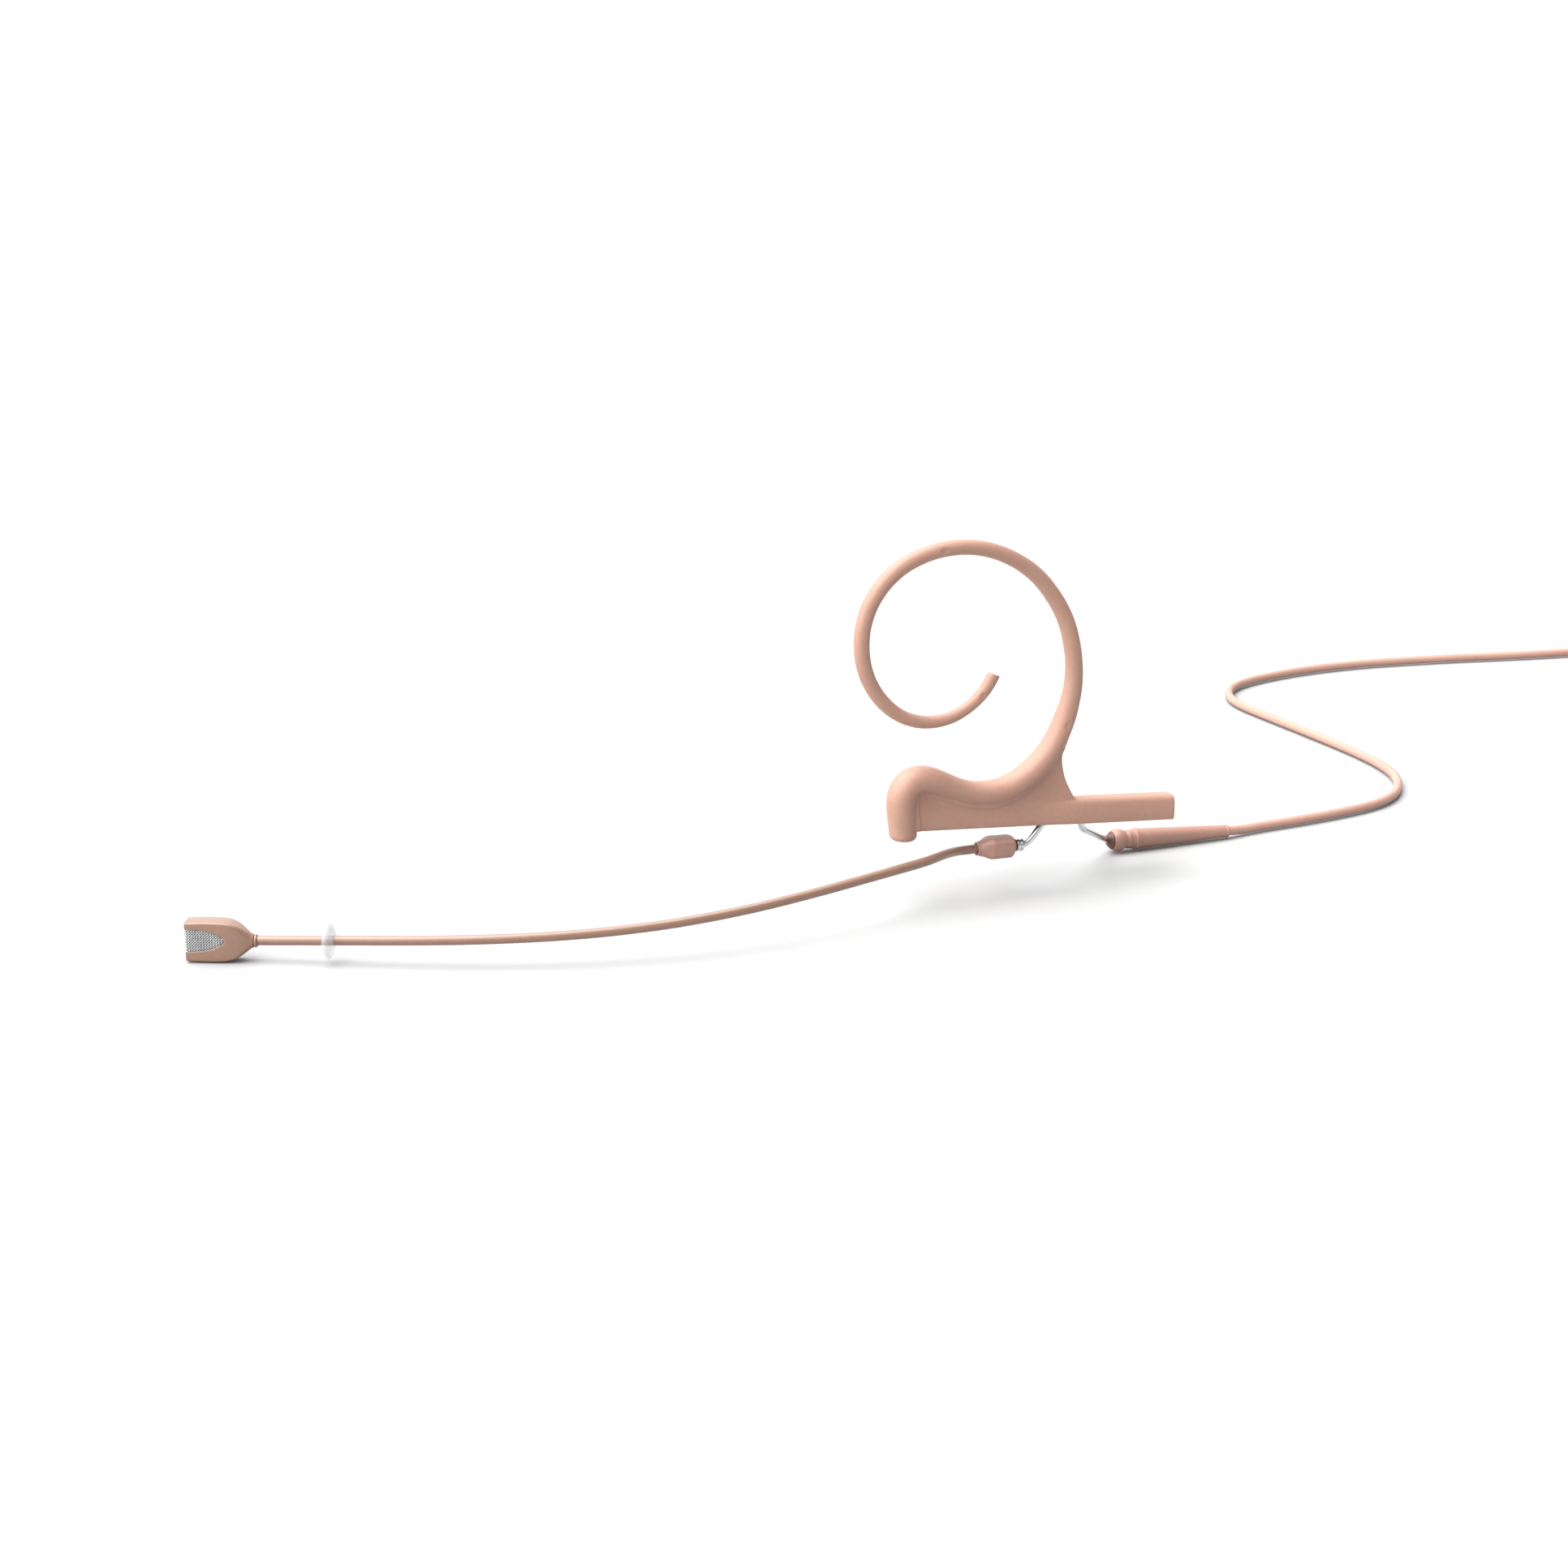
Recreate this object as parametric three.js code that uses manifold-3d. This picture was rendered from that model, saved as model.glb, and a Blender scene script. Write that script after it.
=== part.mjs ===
// Single-ear headset microphone: a moulded silicone ear hook that slides and swivels on a bent
// carrier tube, a thin boom with a small rectangular microphone head, and a cable that leaves
// through a ball-nosed strain relief and ends, wound in a coil, in a screw-on coaxial connector.
// Millimetres, +Z up, +X from the microphone head towards the cable, +Y towards the wearer's head.
import * as THREE from "three";
import { mergeVertices } from "three/addons/utils/BufferGeometryUtils.js";
import Module from "manifold-3d";

const wasm = await Module();
wasm.setup();

// ---------------------------------------------------------------- driving dimensions
const ORIGIN_X = -21.8; // centre of the stand-alone part over its lowest plane, from the hook's foot
const ORIGIN_Y = 2.9;

const TUBE_R = 0.52; // bent carrier tube
const BOOM_R = 0.67; // boom tube, outside
const BOOM_BORE_R = 0.44;
const LEAD_R = 0.3; // insulated lead in the boom
const CORD_R = 0.75; // cable, outside
const FLOOR_CORD_Z = 0.78; // centre of the cable where it lies on the floor

const WEB_T = 2.9; // thickness of the flat web of the ear hook
const BAR_W = 4.0; // width of the grip bar across the hook
const BAR_H = 4.0; // height of the grip bar
const BAR_MID = { x: 30, z: 10.7 }; // a point on the bar's middle line
const BAR_SLOPE = -0.0735; // the bar falls this much per millimetre towards its free end
const BAR_X0 = 1.6,
  BAR_X1 = 46.9;
const GROOVE_R = 1.4; // groove along the bar's underside
const GROOVE_LIFT = 1.0; // its centre above the underside
const GROOVE_X0 = 12.0,
  GROOVE_X1 = 45.2;
const SHOE_R = 1.2; // swivel shoe that snaps on the tube and slides in the groove
const SHOE_BORE_R = 0.6;
const SHOE_X0 = 25.5,
  SHOE_X1 = 28.9;
const WIRE_R = 0.4; // core wire in the hook
const WIRE_BORE_R = 0.6;

const HEAD = { x: -96.2, y: 12.1, z: 2.85, turn: (153.4 * Math.PI) / 180 }; // rear of the head
const HEAD_L = 10.2,
  HEAD_W = 3.6,
  HEAD_H = 5.7;

const COIL = { x: 198.5, y: 72.5, rIn: 7.4, rOut: 13.8, h: 6.35 };
const TAIL_R = 14.85; // the last loose turn beside the coil

// hook: stations [x, z, radius] along the roll and the loop, from the foot to the tip
const HOOK = [
  [0.62, 9.1, 0],
  [0.56, 9.3, 1.05],
  [0.47, 9.85, 1.72],
  [0.36, 11.0, 2.08],
  [0.16, 12.8, 2.16],
  [0.02, 14.6, 2.2],
  [0.1, 16.3, 2.24],
  [0.95, 17.85, 2.26],
  [2.6, 18.62, 2.18],
  [4.5, 18.4, 2.08],
  [6.6, 17.55, 1.95],
  [9.0, 16.45, 1.86],
  [11.6, 15.55, 1.86],
  [14.2, 15.2, 1.92],
  [16.8, 15.42, 1.9],
  [19.3, 16.25, 1.88],
  [21.6, 17.6, 1.87],
  [23.6, 19.3, 1.8],
  [25.3, 21.4, 1.7],
  [26.6, 23.7, 1.67],
  [27.7, 26.3, 1.63],
  [28.45, 28.8, 1.54],
  [28.82, 31.39, 1.46],
  [28.77, 34.5, 1.38],
  [28.26, 37.52, 1.37],
  [27.44, 40.36, 1.33],
  [26.16, 43.0, 1.31],
  [24.54, 45.43, 1.28],
  [22.69, 47.65, 1.26],
  [20.53, 49.53, 1.24],
  [18.05, 51.1, 1.2],
  [15.5, 52.3, 1.19],
  [12.87, 53.1, 1.19],
  [10.18, 53.52, 1.18],
  [7.51, 53.55, 1.2],
  [4.86, 53.24, 1.21],
  [2.33, 52.54, 1.24],
  [-0.08, 51.5, 1.26],
  [-2.19, 50.04, 1.29],
  [-3.99, 48.18, 1.29],
  [-5.41, 45.99, 1.28],
  [-6.3, 43.51, 1.25],
  [-6.68, 40.86, 1.24],
  [-6.5, 38.0, 1.22],
  [-5.73, 35.3, 1.18],
  [-4.35, 32.75, 1.14],
  [-2.37, 30.44, 1.1],
  [0.07, 28.65, 1.03],
  [2.88, 27.6, 0.99],
  [5.7, 27.34, 0.96],
  [8.3, 27.78, 0.94],
  [10.55, 28.75, 0.93],
  [12.45, 30.05, 0.92],
  [14.0, 31.5, 0.92],
  [15.29, 33.13, 0.92],
];

// boom: stations along its centre line, from the microphone head to the coupling
const BOOM = [
  [-93.45, 10.61, 2.98],
  [-89.34, 8.27, 3.14],
  [-85.25, 5.95, 3.31],
  [-81.14, 3.65, 3.45],
  [-77.01, 1.42, 3.58],
  [-72.86, -0.66, 3.7],
  [-68.67, -2.61, 3.82],
  [-64.43, -4.41, 3.96],
  [-60.14, -6.05, 4.11],
  [-55.77, -7.51, 4.29],
  [-51.33, -8.77, 4.49],
  [-46.81, -9.84, 4.75],
  [-42.17, -10.67, 5.03],
  [-37.42, -11.25, 5.38],
  [-32.48, -11.55, 5.76],
  [-27.44, -11.6, 6.19],
  [-22.23, -11.38, 6.66],
  [-16.87, -10.89, 7.13],
  [-11.3, -10.09, 7.57],
  [-6.96, -9.25, 7.84],
  [-3.21, -8.28, 7.97],
  [-0.03, -7.2, 7.99],
  [1.91, -6.2, 7.92],
  [3.75, -4.95, 7.78],
  [5.69, -3.4, 7.52],
  [7.4, -2.05, 7.22],
  [9.1, -0.98, 6.95],
  [10.8, -0.38, 6.74],
  [12.1, -0.12, 6.64],
  [13.2, -0.06, 6.593],
];

const rad = (d) => (d * Math.PI) / 180;
const V = (x, y, z) => new THREE.Vector3(x, y, z);
const barZ = (x) => BAR_MID.z + BAR_SLOPE * (x - BAR_MID.x);
const grooveZ = (x) => barZ(x) - BAR_H / 2 + GROOVE_LIFT;
const BAR_ANGLE = -Math.atan(BAR_SLOPE); // turn about +Y that takes +X to the bar's direction

// ---------------------------------------------------------------- solids
function solid(geometry) {
  const g = geometry.index ? geometry.toNonIndexed() : geometry.clone();
  g.deleteAttribute("normal");
  g.deleteAttribute("uv");
  const m = mergeVertices(g, 1e-4);
  return new wasm.Manifold(
    new wasm.Mesh({
      numProp: 3,
      vertProperties: new Float32Array(m.attributes.position.array),
      triVerts: new Uint32Array(m.index.array),
    }),
  );
}
function geometryOf(manifold) {
  const mesh = manifold.getMesh();
  const g = new THREE.BufferGeometry();
  g.setAttribute(
    "position",
    new THREE.BufferAttribute(new Float32Array(mesh.vertProperties), 3),
  );
  g.setIndex(new THREE.BufferAttribute(new Uint32Array(mesh.triVerts), 1));
  g.computeVertexNormals();
  return g;
}
function polygon(points) {
  return new THREE.Shape(points.map(([x, y]) => new THREE.Vector2(x, y)));
}
function circle(r, sides, turn = 0) {
  const p = [];
  for (let i = 0; i < sides; i++) {
    const a = turn + (i / sides) * Math.PI * 2;
    p.push([r * Math.cos(a), r * Math.sin(a)]);
  }
  return polygon(p);
}
function roundedRect(w, h, r, n = 3) {
  const p = [];
  for (const [sx, sy, a0] of [
    [1, 1, 0],
    [-1, 1, 90],
    [-1, -1, 180],
    [1, -1, 270],
  ])
    for (let i = 0; i <= n; i++) {
      const a = rad(a0 + (90 * i) / n);
      p.push([
        sx * (w / 2 - r) + r * Math.cos(a),
        sy * (h / 2 - r) + r * Math.sin(a),
      ]);
    }
  return polygon(p);
}
// A solid of revolution about +X, from [x, radius] points.
function turned(points, sides = 16) {
  const g = new THREE.LatheGeometry(
    points.map(([x, r]) => new THREE.Vector2(r, x)),
    sides,
  );
  g.rotateZ(-Math.PI / 2);
  return g;
}
function tube(points, r, sides, steps) {
  const path = new THREE.CatmullRomCurve3(
    points.map((p) => V(...p)),
    false,
    "centripetal",
  );
  return new THREE.ExtrudeGeometry(circle(r, sides), {
    steps,
    bevelEnabled: false,
    extrudePath: path,
  });
}
// A lathe of varying radius, bent so that its axis follows a curve in the XZ plane.
function bentRod(stations, sides, open = 0) {
  const pts = stations.map(([x, z]) => V(x, 0, z));
  const along = [0];
  for (let i = 1; i < pts.length; i++)
    along.push(along[i - 1] + pts[i].distanceTo(pts[i - 1]));
  const profile = stations.map(
    ([, , r], i) => new THREE.Vector2(Math.max(r + open, 0), along[i]),
  );
  profile.push(new THREE.Vector2(0, along[along.length - 1]));
  if (profile[0].x > 0) profile.unshift(new THREE.Vector2(0, 0));
  const g = new THREE.LatheGeometry(profile, sides);
  const pos = g.attributes.position;
  const dirs = pts.map((p, i) =>
    pts[Math.min(i + 1, pts.length - 1)]
      .clone()
      .sub(pts[Math.max(i - 1, 0)])
      .normalize(),
  );
  for (let k = 0; k < pos.count; k++) {
    const s = pos.getY(k);
    let i = 0;
    while (i < along.length - 1 && Math.abs(along[i] - s) > 1e-5) i++;
    const t = dirs[i];
    const n = V(t.z, 0, -t.x); // in the hook's plane, across the rod
    const p = pts[i]
      .clone()
      .addScaledVector(n, pos.getX(k))
      .add(V(0, pos.getZ(k), 0));
    pos.setXYZ(k, p.x, p.y, p.z);
  }
  let made = solid(g);
  if (made.volume() < 0) {
    const flipped = g.toNonIndexed();
    const q = flipped.attributes.position.array;
    for (let t = 0; t < q.length; t += 9)
      for (let c = 0; c < 3; c++)
        [q[t + 3 + c], q[t + 6 + c]] = [q[t + 6 + c], q[t + 3 + c]];
    made = solid(flipped);
  }
  return made;
}
// A plate in the XZ plane, centred on y = 0.
function plateXZ(points, thickness) {
  const g = new THREE.ExtrudeGeometry(polygon(points), {
    depth: thickness,
    bevelEnabled: false,
  });
  g.rotateX(Math.PI / 2);
  g.translate(0, thickness / 2, 0);
  return g;
}
function box(x0, y0, z0, x1, y1, z1) {
  const g = new THREE.BoxGeometry(x1 - x0, y1 - y0, z1 - z0);
  g.translate((x0 + x1) / 2, (y0 + y1) / 2, (z0 + z1) / 2);
  return g;
}

// ---------------------------------------------------------------- looks
const skin = new THREE.MeshStandardMaterial({
  color: 0xdcb5a2,
  roughness: 0.6,
  metalness: 0,
});
const moulded = new THREE.MeshStandardMaterial({
  color: 0xb88f7d,
  roughness: 0.5,
  metalness: 0,
});
const boomPaint = new THREE.MeshStandardMaterial({
  color: 0xc79f8b,
  roughness: 0.45,
  metalness: 0.1,
});
const chrome = new THREE.MeshStandardMaterial({
  color: 0xc8ccd0,
  roughness: 0.12,
  metalness: 1,
});
const steel = new THREE.MeshStandardMaterial({
  color: 0xb0b2b2,
  roughness: 0.35,
  metalness: 1,
});
const clear = new THREE.MeshStandardMaterial({
  color: 0xe8e8e8,
  roughness: 0.1,
  metalness: 0,
  transparent: true,
  opacity: 0.4,
});
const jacket = new THREE.MeshStandardMaterial({
  color: 0xddb6a4,
  roughness: 0.5,
  metalness: 0,
});
const copper = new THREE.MeshStandardMaterial({
  color: 0xb87333,
  roughness: 0.4,
  metalness: 1,
});
const board = new THREE.MeshStandardMaterial({
  color: 0x2f5d3a,
  roughness: 0.5,
  metalness: 0,
});
const gold = new THREE.MeshStandardMaterial({
  color: 0xcaa84a,
  roughness: 0.25,
  metalness: 1,
});
const nylon = new THREE.MeshStandardMaterial({
  color: 0x3a3a3c,
  roughness: 0.8,
  metalness: 0,
});
const ptfe = new THREE.MeshStandardMaterial({
  color: 0xf2f0ea,
  roughness: 0.4,
  metalness: 0,
});

const headset = new THREE.Group();
function add(name, geometry, material, parent = headset) {
  const mesh = new THREE.Mesh(geometry, material);
  mesh.name = name;
  parent.add(mesh);
  return mesh;
}

// ---------------------------------------------------------------- ear hook
const WEB = [
  [1.0, 10.9],
  [29.6, 9.0],
  [30.4, 12.2],
  [29.3, 13.2],
  [28.5, 14.6],
  [27.85, 16.4],
  [27.4, 18.3],
  [27.25, 19.6],
  [27.45, 21.0],
  [26.6, 23.0],
  [25.3, 21.4],
  [23.6, 19.3],
  [21.6, 17.6],
  [19.3, 16.25],
  [16.8, 15.42],
  [14.2, 15.2],
  [11.6, 15.55],
  [9.0, 16.45],
  [6.6, 17.55],
  [4.5, 18.4],
  [2.0, 18.4],
  [0.6, 16.8],
];
function alongBar(geometry, x) {
  // from a piece built about the origin along +X to its place on a line parallel to the bar
  geometry.rotateY(BAR_ANGLE);
  geometry.translate(x, 0, 0);
  return geometry;
}
const barLength = (BAR_X1 - BAR_X0) / Math.cos(BAR_ANGLE);
// the section's Shape X is along +Z and its Shape Y along +Y after this turn
function barLike(shape, length) {
  const g = new THREE.ExtrudeGeometry(shape, {
    depth: length,
    bevelEnabled: false,
  });
  g.rotateY(Math.PI / 2); // extrusion now runs along +X
  return g;
}
const bar = barLike(roundedRect(BAR_H, BAR_W, 0.95, 3), barLength);
bar.rotateY(BAR_ANGLE);
bar.translate(BAR_X0, 0, barZ(BAR_X0));
const grooveLength = (GROOVE_X1 - GROOVE_X0) / Math.cos(BAR_ANGLE);
const groove = barLike(circle(GROOVE_R, 16, rad(11.25)), grooveLength);
groove.rotateY(BAR_ANGLE);
groove.translate(GROOVE_X0, 0, grooveZ(GROOVE_X0));

// The core wire starts over the groove, runs up the web's rear edge and round the loop.
const WIRE_FROM = HOOK.findIndex(([x, z]) => x > 26 && z > 23);
const wirePath = [
  [26.9, 11.9],
  [26.75, 14.0],
  [26.5, 16.5],
  [26.25, 18.8],
  [26.2, 21.0],
  ...HOOK.slice(WIRE_FROM, HOOK.length - 2).map(([x, z]) => [x, z]),
];
const wireStations = wirePath.map(([x, z]) => [x, z, WIRE_R]);
const boreStations = [
  [26.95, 11.0],
  ...wirePath,
  [HOOK[HOOK.length - 2][0] - 0.55, HOOK[HOOK.length - 2][1] - 0.6],
].map(([x, z]) => [x, z, WIRE_BORE_R]);

const hook = bentRod(HOOK, 12)
  .add(solid(plateXZ(WEB, WEB_T)))
  .add(solid(bar))
  .subtract(solid(groove))
  .subtract(bentRod(boreStations, 6));
add("ear_hook", geometryOf(hook), skin);
add("hook_core_wire", geometryOf(bentRod(wireStations, 6)), steel);

// ---------------------------------------------------------------- swivel shoe on the tube
const shoeLength = (SHOE_X1 - SHOE_X0) / Math.cos(BAR_ANGLE);
const shoeOuter = barLike(circle(SHOE_R, 16, rad(11.25)), shoeLength);
const shoeBore = barLike(circle(SHOE_BORE_R, 12), shoeLength + 2);
shoeBore.translate(-1, 0, 0);
const shoeMouth = box(-1, -0.36, -3, shoeLength + 1, 0.36, 0);
const shoe = solid(shoeOuter)
  .subtract(solid(shoeBore))
  .subtract(solid(shoeMouth));
const shoeGeometry = geometryOf(shoe);
shoeGeometry.rotateY(BAR_ANGLE);
shoeGeometry.translate(SHOE_X0, 0, grooveZ(SHOE_X0));
add("grip_shoe", shoeGeometry, moulded);

// ---------------------------------------------------------------- carrier tube
const CARRIER = [
  [17.4, 0, 6.44],
  [18.8, 0, 6.37],
  [20.2, 0, 6.3],
  [20.9, 0, 6.36],
  [21.6, 0, 6.72],
  [22.3, 0, 7.35],
  [23.0, 0, 8.1],
  [23.7, 0, 8.9],
  [24.2, 0, 9.45],
  [24.7, 0, 9.86],
  [25.3, 0, grooveZ(25.3)],
  [26.6, 0, grooveZ(26.6)],
  [27.9, 0, grooveZ(27.9)],
  [29.1, 0, grooveZ(29.1)],
  [29.85, 0, 9.58],
  [30.4, 0, 9.15],
  [30.72, 0, 8.5],
  [31.0, 0.06, 7.85],
  [31.45, 0.45, 7.35],
  [32.3, 1.25, 6.85],
  [34.5, 3.25, 5.6],
  [37.0, 5.55, 4.12],
  [39.2, 7.6, 2.9],
  [40.4, 8.6, 2.28],
  [41.4, 9.1, 1.93],
  [42.6, 9.15, 1.83],
];
add("carrier_tube", tube(CARRIER, TUBE_R, 8, 56), chrome);

// ---------------------------------------------------------------- boom
const boomPath = BOOM.map((p) => p.slice());
const first = boomPath[0],
  second = boomPath[1],
  last = boomPath[boomPath.length - 1];
const beyond = (p, q, d) => {
  const v = V(...p).sub(V(...q)).normalize().multiplyScalar(d);
  return [p[0] + v.x, p[1] + v.y, p[2] + v.z];
};
// the tube itself runs from inside the head to inside the coupling
const headEnd = beyond(first, second, 3.9);
const couplingEnd = [15.4, -0.06, 6.515];
const fullBoom = [headEnd, ...boomPath, couplingEnd];
const boreBoom = [
  beyond(headEnd, first, 0.6),
  ...boomPath,
  beyond(couplingEnd, last, 0.6),
];
add(
  "boom_tube",
  geometryOf(
    solid(tube(fullBoom, BOOM_R, 8, 62)).subtract(
      solid(tube(boreBoom, BOOM_BORE_R, 6, 62)),
    ),
  ),
  boomPaint,
);
const leadPath = [beyond(headEnd, first, 0.35), ...boomPath, couplingEnd];
add("boom_lead", tube(leadPath, LEAD_R * 0.9, 5, 62), copper);

// coupling barrel between boom and carrier tube, with its chrome ferrule
const coupling = new THREE.Group();
const couplingDir = V(1, 0, -0.035).normalize();
coupling.position.set(12.7, -0.06, 6.61);
coupling.rotation.y = Math.asin(-couplingDir.z);
headset.add(coupling);
const barrel = solid(
  turned(
    [
      [0, 0.82],
      [0, 1.1],
      [0.55, 1.22],
      [1.6, 1.62],
      [2.6, 1.78],
      [5.6, 1.82],
      [6.5, 1.72],
      [7.0, 1.35],
      [7.25, 0.95],
      [7.25, 0.72],
      [3.2, 0.72],
      [3.2, 0.82],
      [0, 0.82],
    ],
    16,
  ),
);
add("boom_coupling", geometryOf(barrel), moulded, coupling);
add(
  "boom_ferrule",
  turned(
    [
      [7.35, 0.62],
      [7.35, 1.05],
      [8.0, 1.1],
      [8.2, 0.92],
      [8.2, 0.62],
      [7.35, 0.62],
    ],
    14,
  ),
  chrome,
  coupling,
);

// ---------------------------------------------------------------- drip ring on the boom
const drip = new THREE.Group();
{
  const p = V(...BOOM[1]),
    q = V(...BOOM[2]);
  const dir = q.clone().sub(p).normalize();
  drip.position.copy(p.clone().addScaledVector(dir, 3.0));
  drip.quaternion.setFromUnitVectors(V(1, 0, 0), dir);
}
headset.add(drip);
add(
  "drip_ring",
  turned(
    [
      [-0.8, 0.76],
      [-0.78, 1.1],
      [-0.68, 1.5],
      [-0.46, 1.95],
      [-0.2, 2.25],
      [0, 2.33],
      [0.2, 2.25],
      [0.46, 1.95],
      [0.68, 1.5],
      [0.78, 1.1],
      [0.8, 0.76],
      [-0.8, 0.76],
    ],
    18,
  ),
  clear,
  drip,
);

// ---------------------------------------------------------------- microphone head
const head = new THREE.Group();
head.position.set(HEAD.x, HEAD.y, HEAD.z);
head.rotation.z = HEAD.turn;
headset.add(head);
const side = [
  [0, 0.9],
  [0.6, 1.2],
  [1.3, 1.72],
  [2.2, 2.35],
  [3.2, 2.72],
  [4.4, HEAD_H / 2],
  [8.9, HEAD_H / 2],
  [9.8, 2.62],
  [HEAD_L, 2.25],
];
const mirrorZ = (p) => [
  ...p,
  ...p
    .slice()
    .reverse()
    .map(([x, z]) => [x, -z]),
];
const plan = [
  [0, 0.9],
  [1.0, 1.25],
  [2.2, 1.62],
  [3.4, HEAD_W / 2],
  [9.5, HEAD_W / 2],
  [HEAD_L, 1.6],
];
const sideSolid = solid(plateXZ(mirrorZ(side), HEAD_W + 1));
const planGeometry = new THREE.ExtrudeGeometry(polygon(mirrorZ(plan)), {
  depth: HEAD_H + 1,
  bevelEnabled: false,
});
planGeometry.translate(0, 0, -(HEAD_H + 1) / 2);
const sectionGeometry = barLike(roundedRect(HEAD_H, HEAD_W, 0.95, 3), HEAD_L);
const windowTop = 2.02,
  windowLow = -1.36;
const windowProfile = [
  [11.2, windowLow],
  [8.8, windowLow + 0.02],
  [7.2, windowLow + 0.16],
  [6.1, windowLow + 0.42],
  [5.2, windowLow + 0.85],
  [4.6, windowLow + 1.35],
  [4.4, (windowTop + windowLow) / 2],
  [4.6, windowTop - 1.35],
  [5.2, windowTop - 0.85],
  [6.1, windowTop - 0.42],
  [7.2, windowTop - 0.16],
  [8.8, windowTop - 0.02],
  [11.2, windowTop],
];
const housing = sideSolid
  .intersect(solid(planGeometry))
  .intersect(solid(sectionGeometry))
  .subtract(solid(box(3.4, -1.38, -2.35, 11, 1.38, 2.35))) // capsule chamber, open in front
  .subtract(solid(box(1.7, -0.85, -1.05, 3.5, 0.85, 1.05))) // wiring space
  .subtract(solid(turned([[1.2, 0], [1.2, 0.42], [1.8, 0.42], [1.8, 0]], 8)))
  .subtract(solid(turned([[-0.4, 0], [-0.4, 0.76], [1.25, 0.76], [1.25, 0]], 12)))
  .subtract(solid(plateXZ(windowProfile, HEAD_W + 2)));
add("mic_housing", geometryOf(housing), moulded, head);
add(
  "neck_collar",
  turned(
    [
      [-0.75, 0.76],
      [-0.75, 0.92],
      [-0.55, 1.02],
      [-0.25, 1.02],
      [-0.1, 0.92],
      [-0.1, 0.76],
      [-0.75, 0.76],
    ],
    14,
  ),
  moulded,
  head,
);
// fine wire mesh, folded round the front from one side window to the other
const meshPlan = [
  [3.7, 1.26],
  [9.55, 1.26],
  [9.85, 1.12],
  [9.95, 0.8],
];
const meshInner = [
  [3.7, 1.06],
  [9.5, 1.06],
  [9.68, 0.98],
  [9.75, 0.74],
];
const grilleShape = polygon([
  ...mirrorZ(meshPlan),
  ...mirrorZ(meshInner)
    .slice()
    .reverse(),
]);
const grilleGeometry = new THREE.ExtrudeGeometry(grilleShape, {
  depth: 4.4,
  bevelEnabled: false,
});
grilleGeometry.translate(0, 0, -2.2);
add("mic_grille", grilleGeometry, steel, head);
// capsule: a cup lying on its side, with its diaphragm ring set in the open face
const sideways = (geometry) => {
  geometry.rotateZ(-Math.PI / 2); // axis +X to -Y, the side of the near window
  return geometry;
};
const can = sideways(
  turned(
    [
      [-0.85, 0],
      [-0.85, 1.95],
      [0.85, 1.95],
      [0.85, 1.7],
      [-0.55, 1.7],
      [-0.55, 0],
    ],
    20,
  ),
);
can.translate(6.6, 0, 0.1);
add("capsule_can", can, steel, head);
const diaphragm = sideways(
  turned(
    [
      [0.2, 0],
      [0.2, 1.6],
      [0.7, 1.6],
      [0.7, 1.3],
      [0.35, 1.3],
      [0.35, 0],
    ],
    20,
  ),
);
diaphragm.translate(6.6, 0, 0.1);
add("capsule_diaphragm", diaphragm, gold, head);
const backplate = sideways(
  turned(
    [
      [-0.35, 0],
      [-0.35, 1.5],
      [0.05, 1.5],
      [0.05, 0],
    ],
    16,
  ),
);
backplate.translate(6.6, 0, 0.1);
add("capsule_backplate", backplate, steel, head);
add("preamp_board", box(2.35, -0.25, -0.85, 4.4, 0.25, 0.85), board, head);

// ---------------------------------------------------------------- strain relief
const reliefFrom = V(40.95, 9.2, 1.88),
  reliefTo = V(62.35, 8.7, 1.05);
const reliefLength = reliefTo.distanceTo(reliefFrom);
const relief = new THREE.Group();
relief.position.copy(reliefFrom);
relief.quaternion.setFromUnitVectors(
  V(1, 0, 0),
  reliefTo.clone().sub(reliefFrom).normalize(),
);
headset.add(relief);
const nose = solid(
  turned(
    [
      [0.0, 1.12],
      [0.0, 1.28],
      [0.45, 1.52],
      [1.1, 1.7],
      [1.7, 1.74],
      [2.2, 1.62],
      [2.55, 1.42],
      [3.0, 1.4],
      [3.35, 1.5],
      [3.35, 0.78],
      [1.1, 0.78],
      [0.0, 1.12],
    ],
    16,
  ),
);
add("relief_nose", geometryOf(nose), moulded, relief);
add(
  "crimp_sleeve",
  turned(
    [
      [2.6, 0.58],
      [2.6, 0.72],
      [6.6, 0.72],
      [6.6, 0.58],
      [2.6, 0.58],
    ],
    10,
  ),
  steel,
  relief,
);
add(
  "cable_relief",
  turned(
    [
      [3.55, 0.8],
      [3.55, 1.56],
      [4.2, 1.62],
      [4.35, 1.66],
      [5.2, 1.66],
      [6.2, 1.62],
      [12, 1.36],
      [reliefLength - 0.4, 0.98],
      [reliefLength, 0.9],
      [reliefLength, 0.8],
      [3.55, 0.8],
    ],
    16,
  ),
  moulded,
  relief,
);

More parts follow.
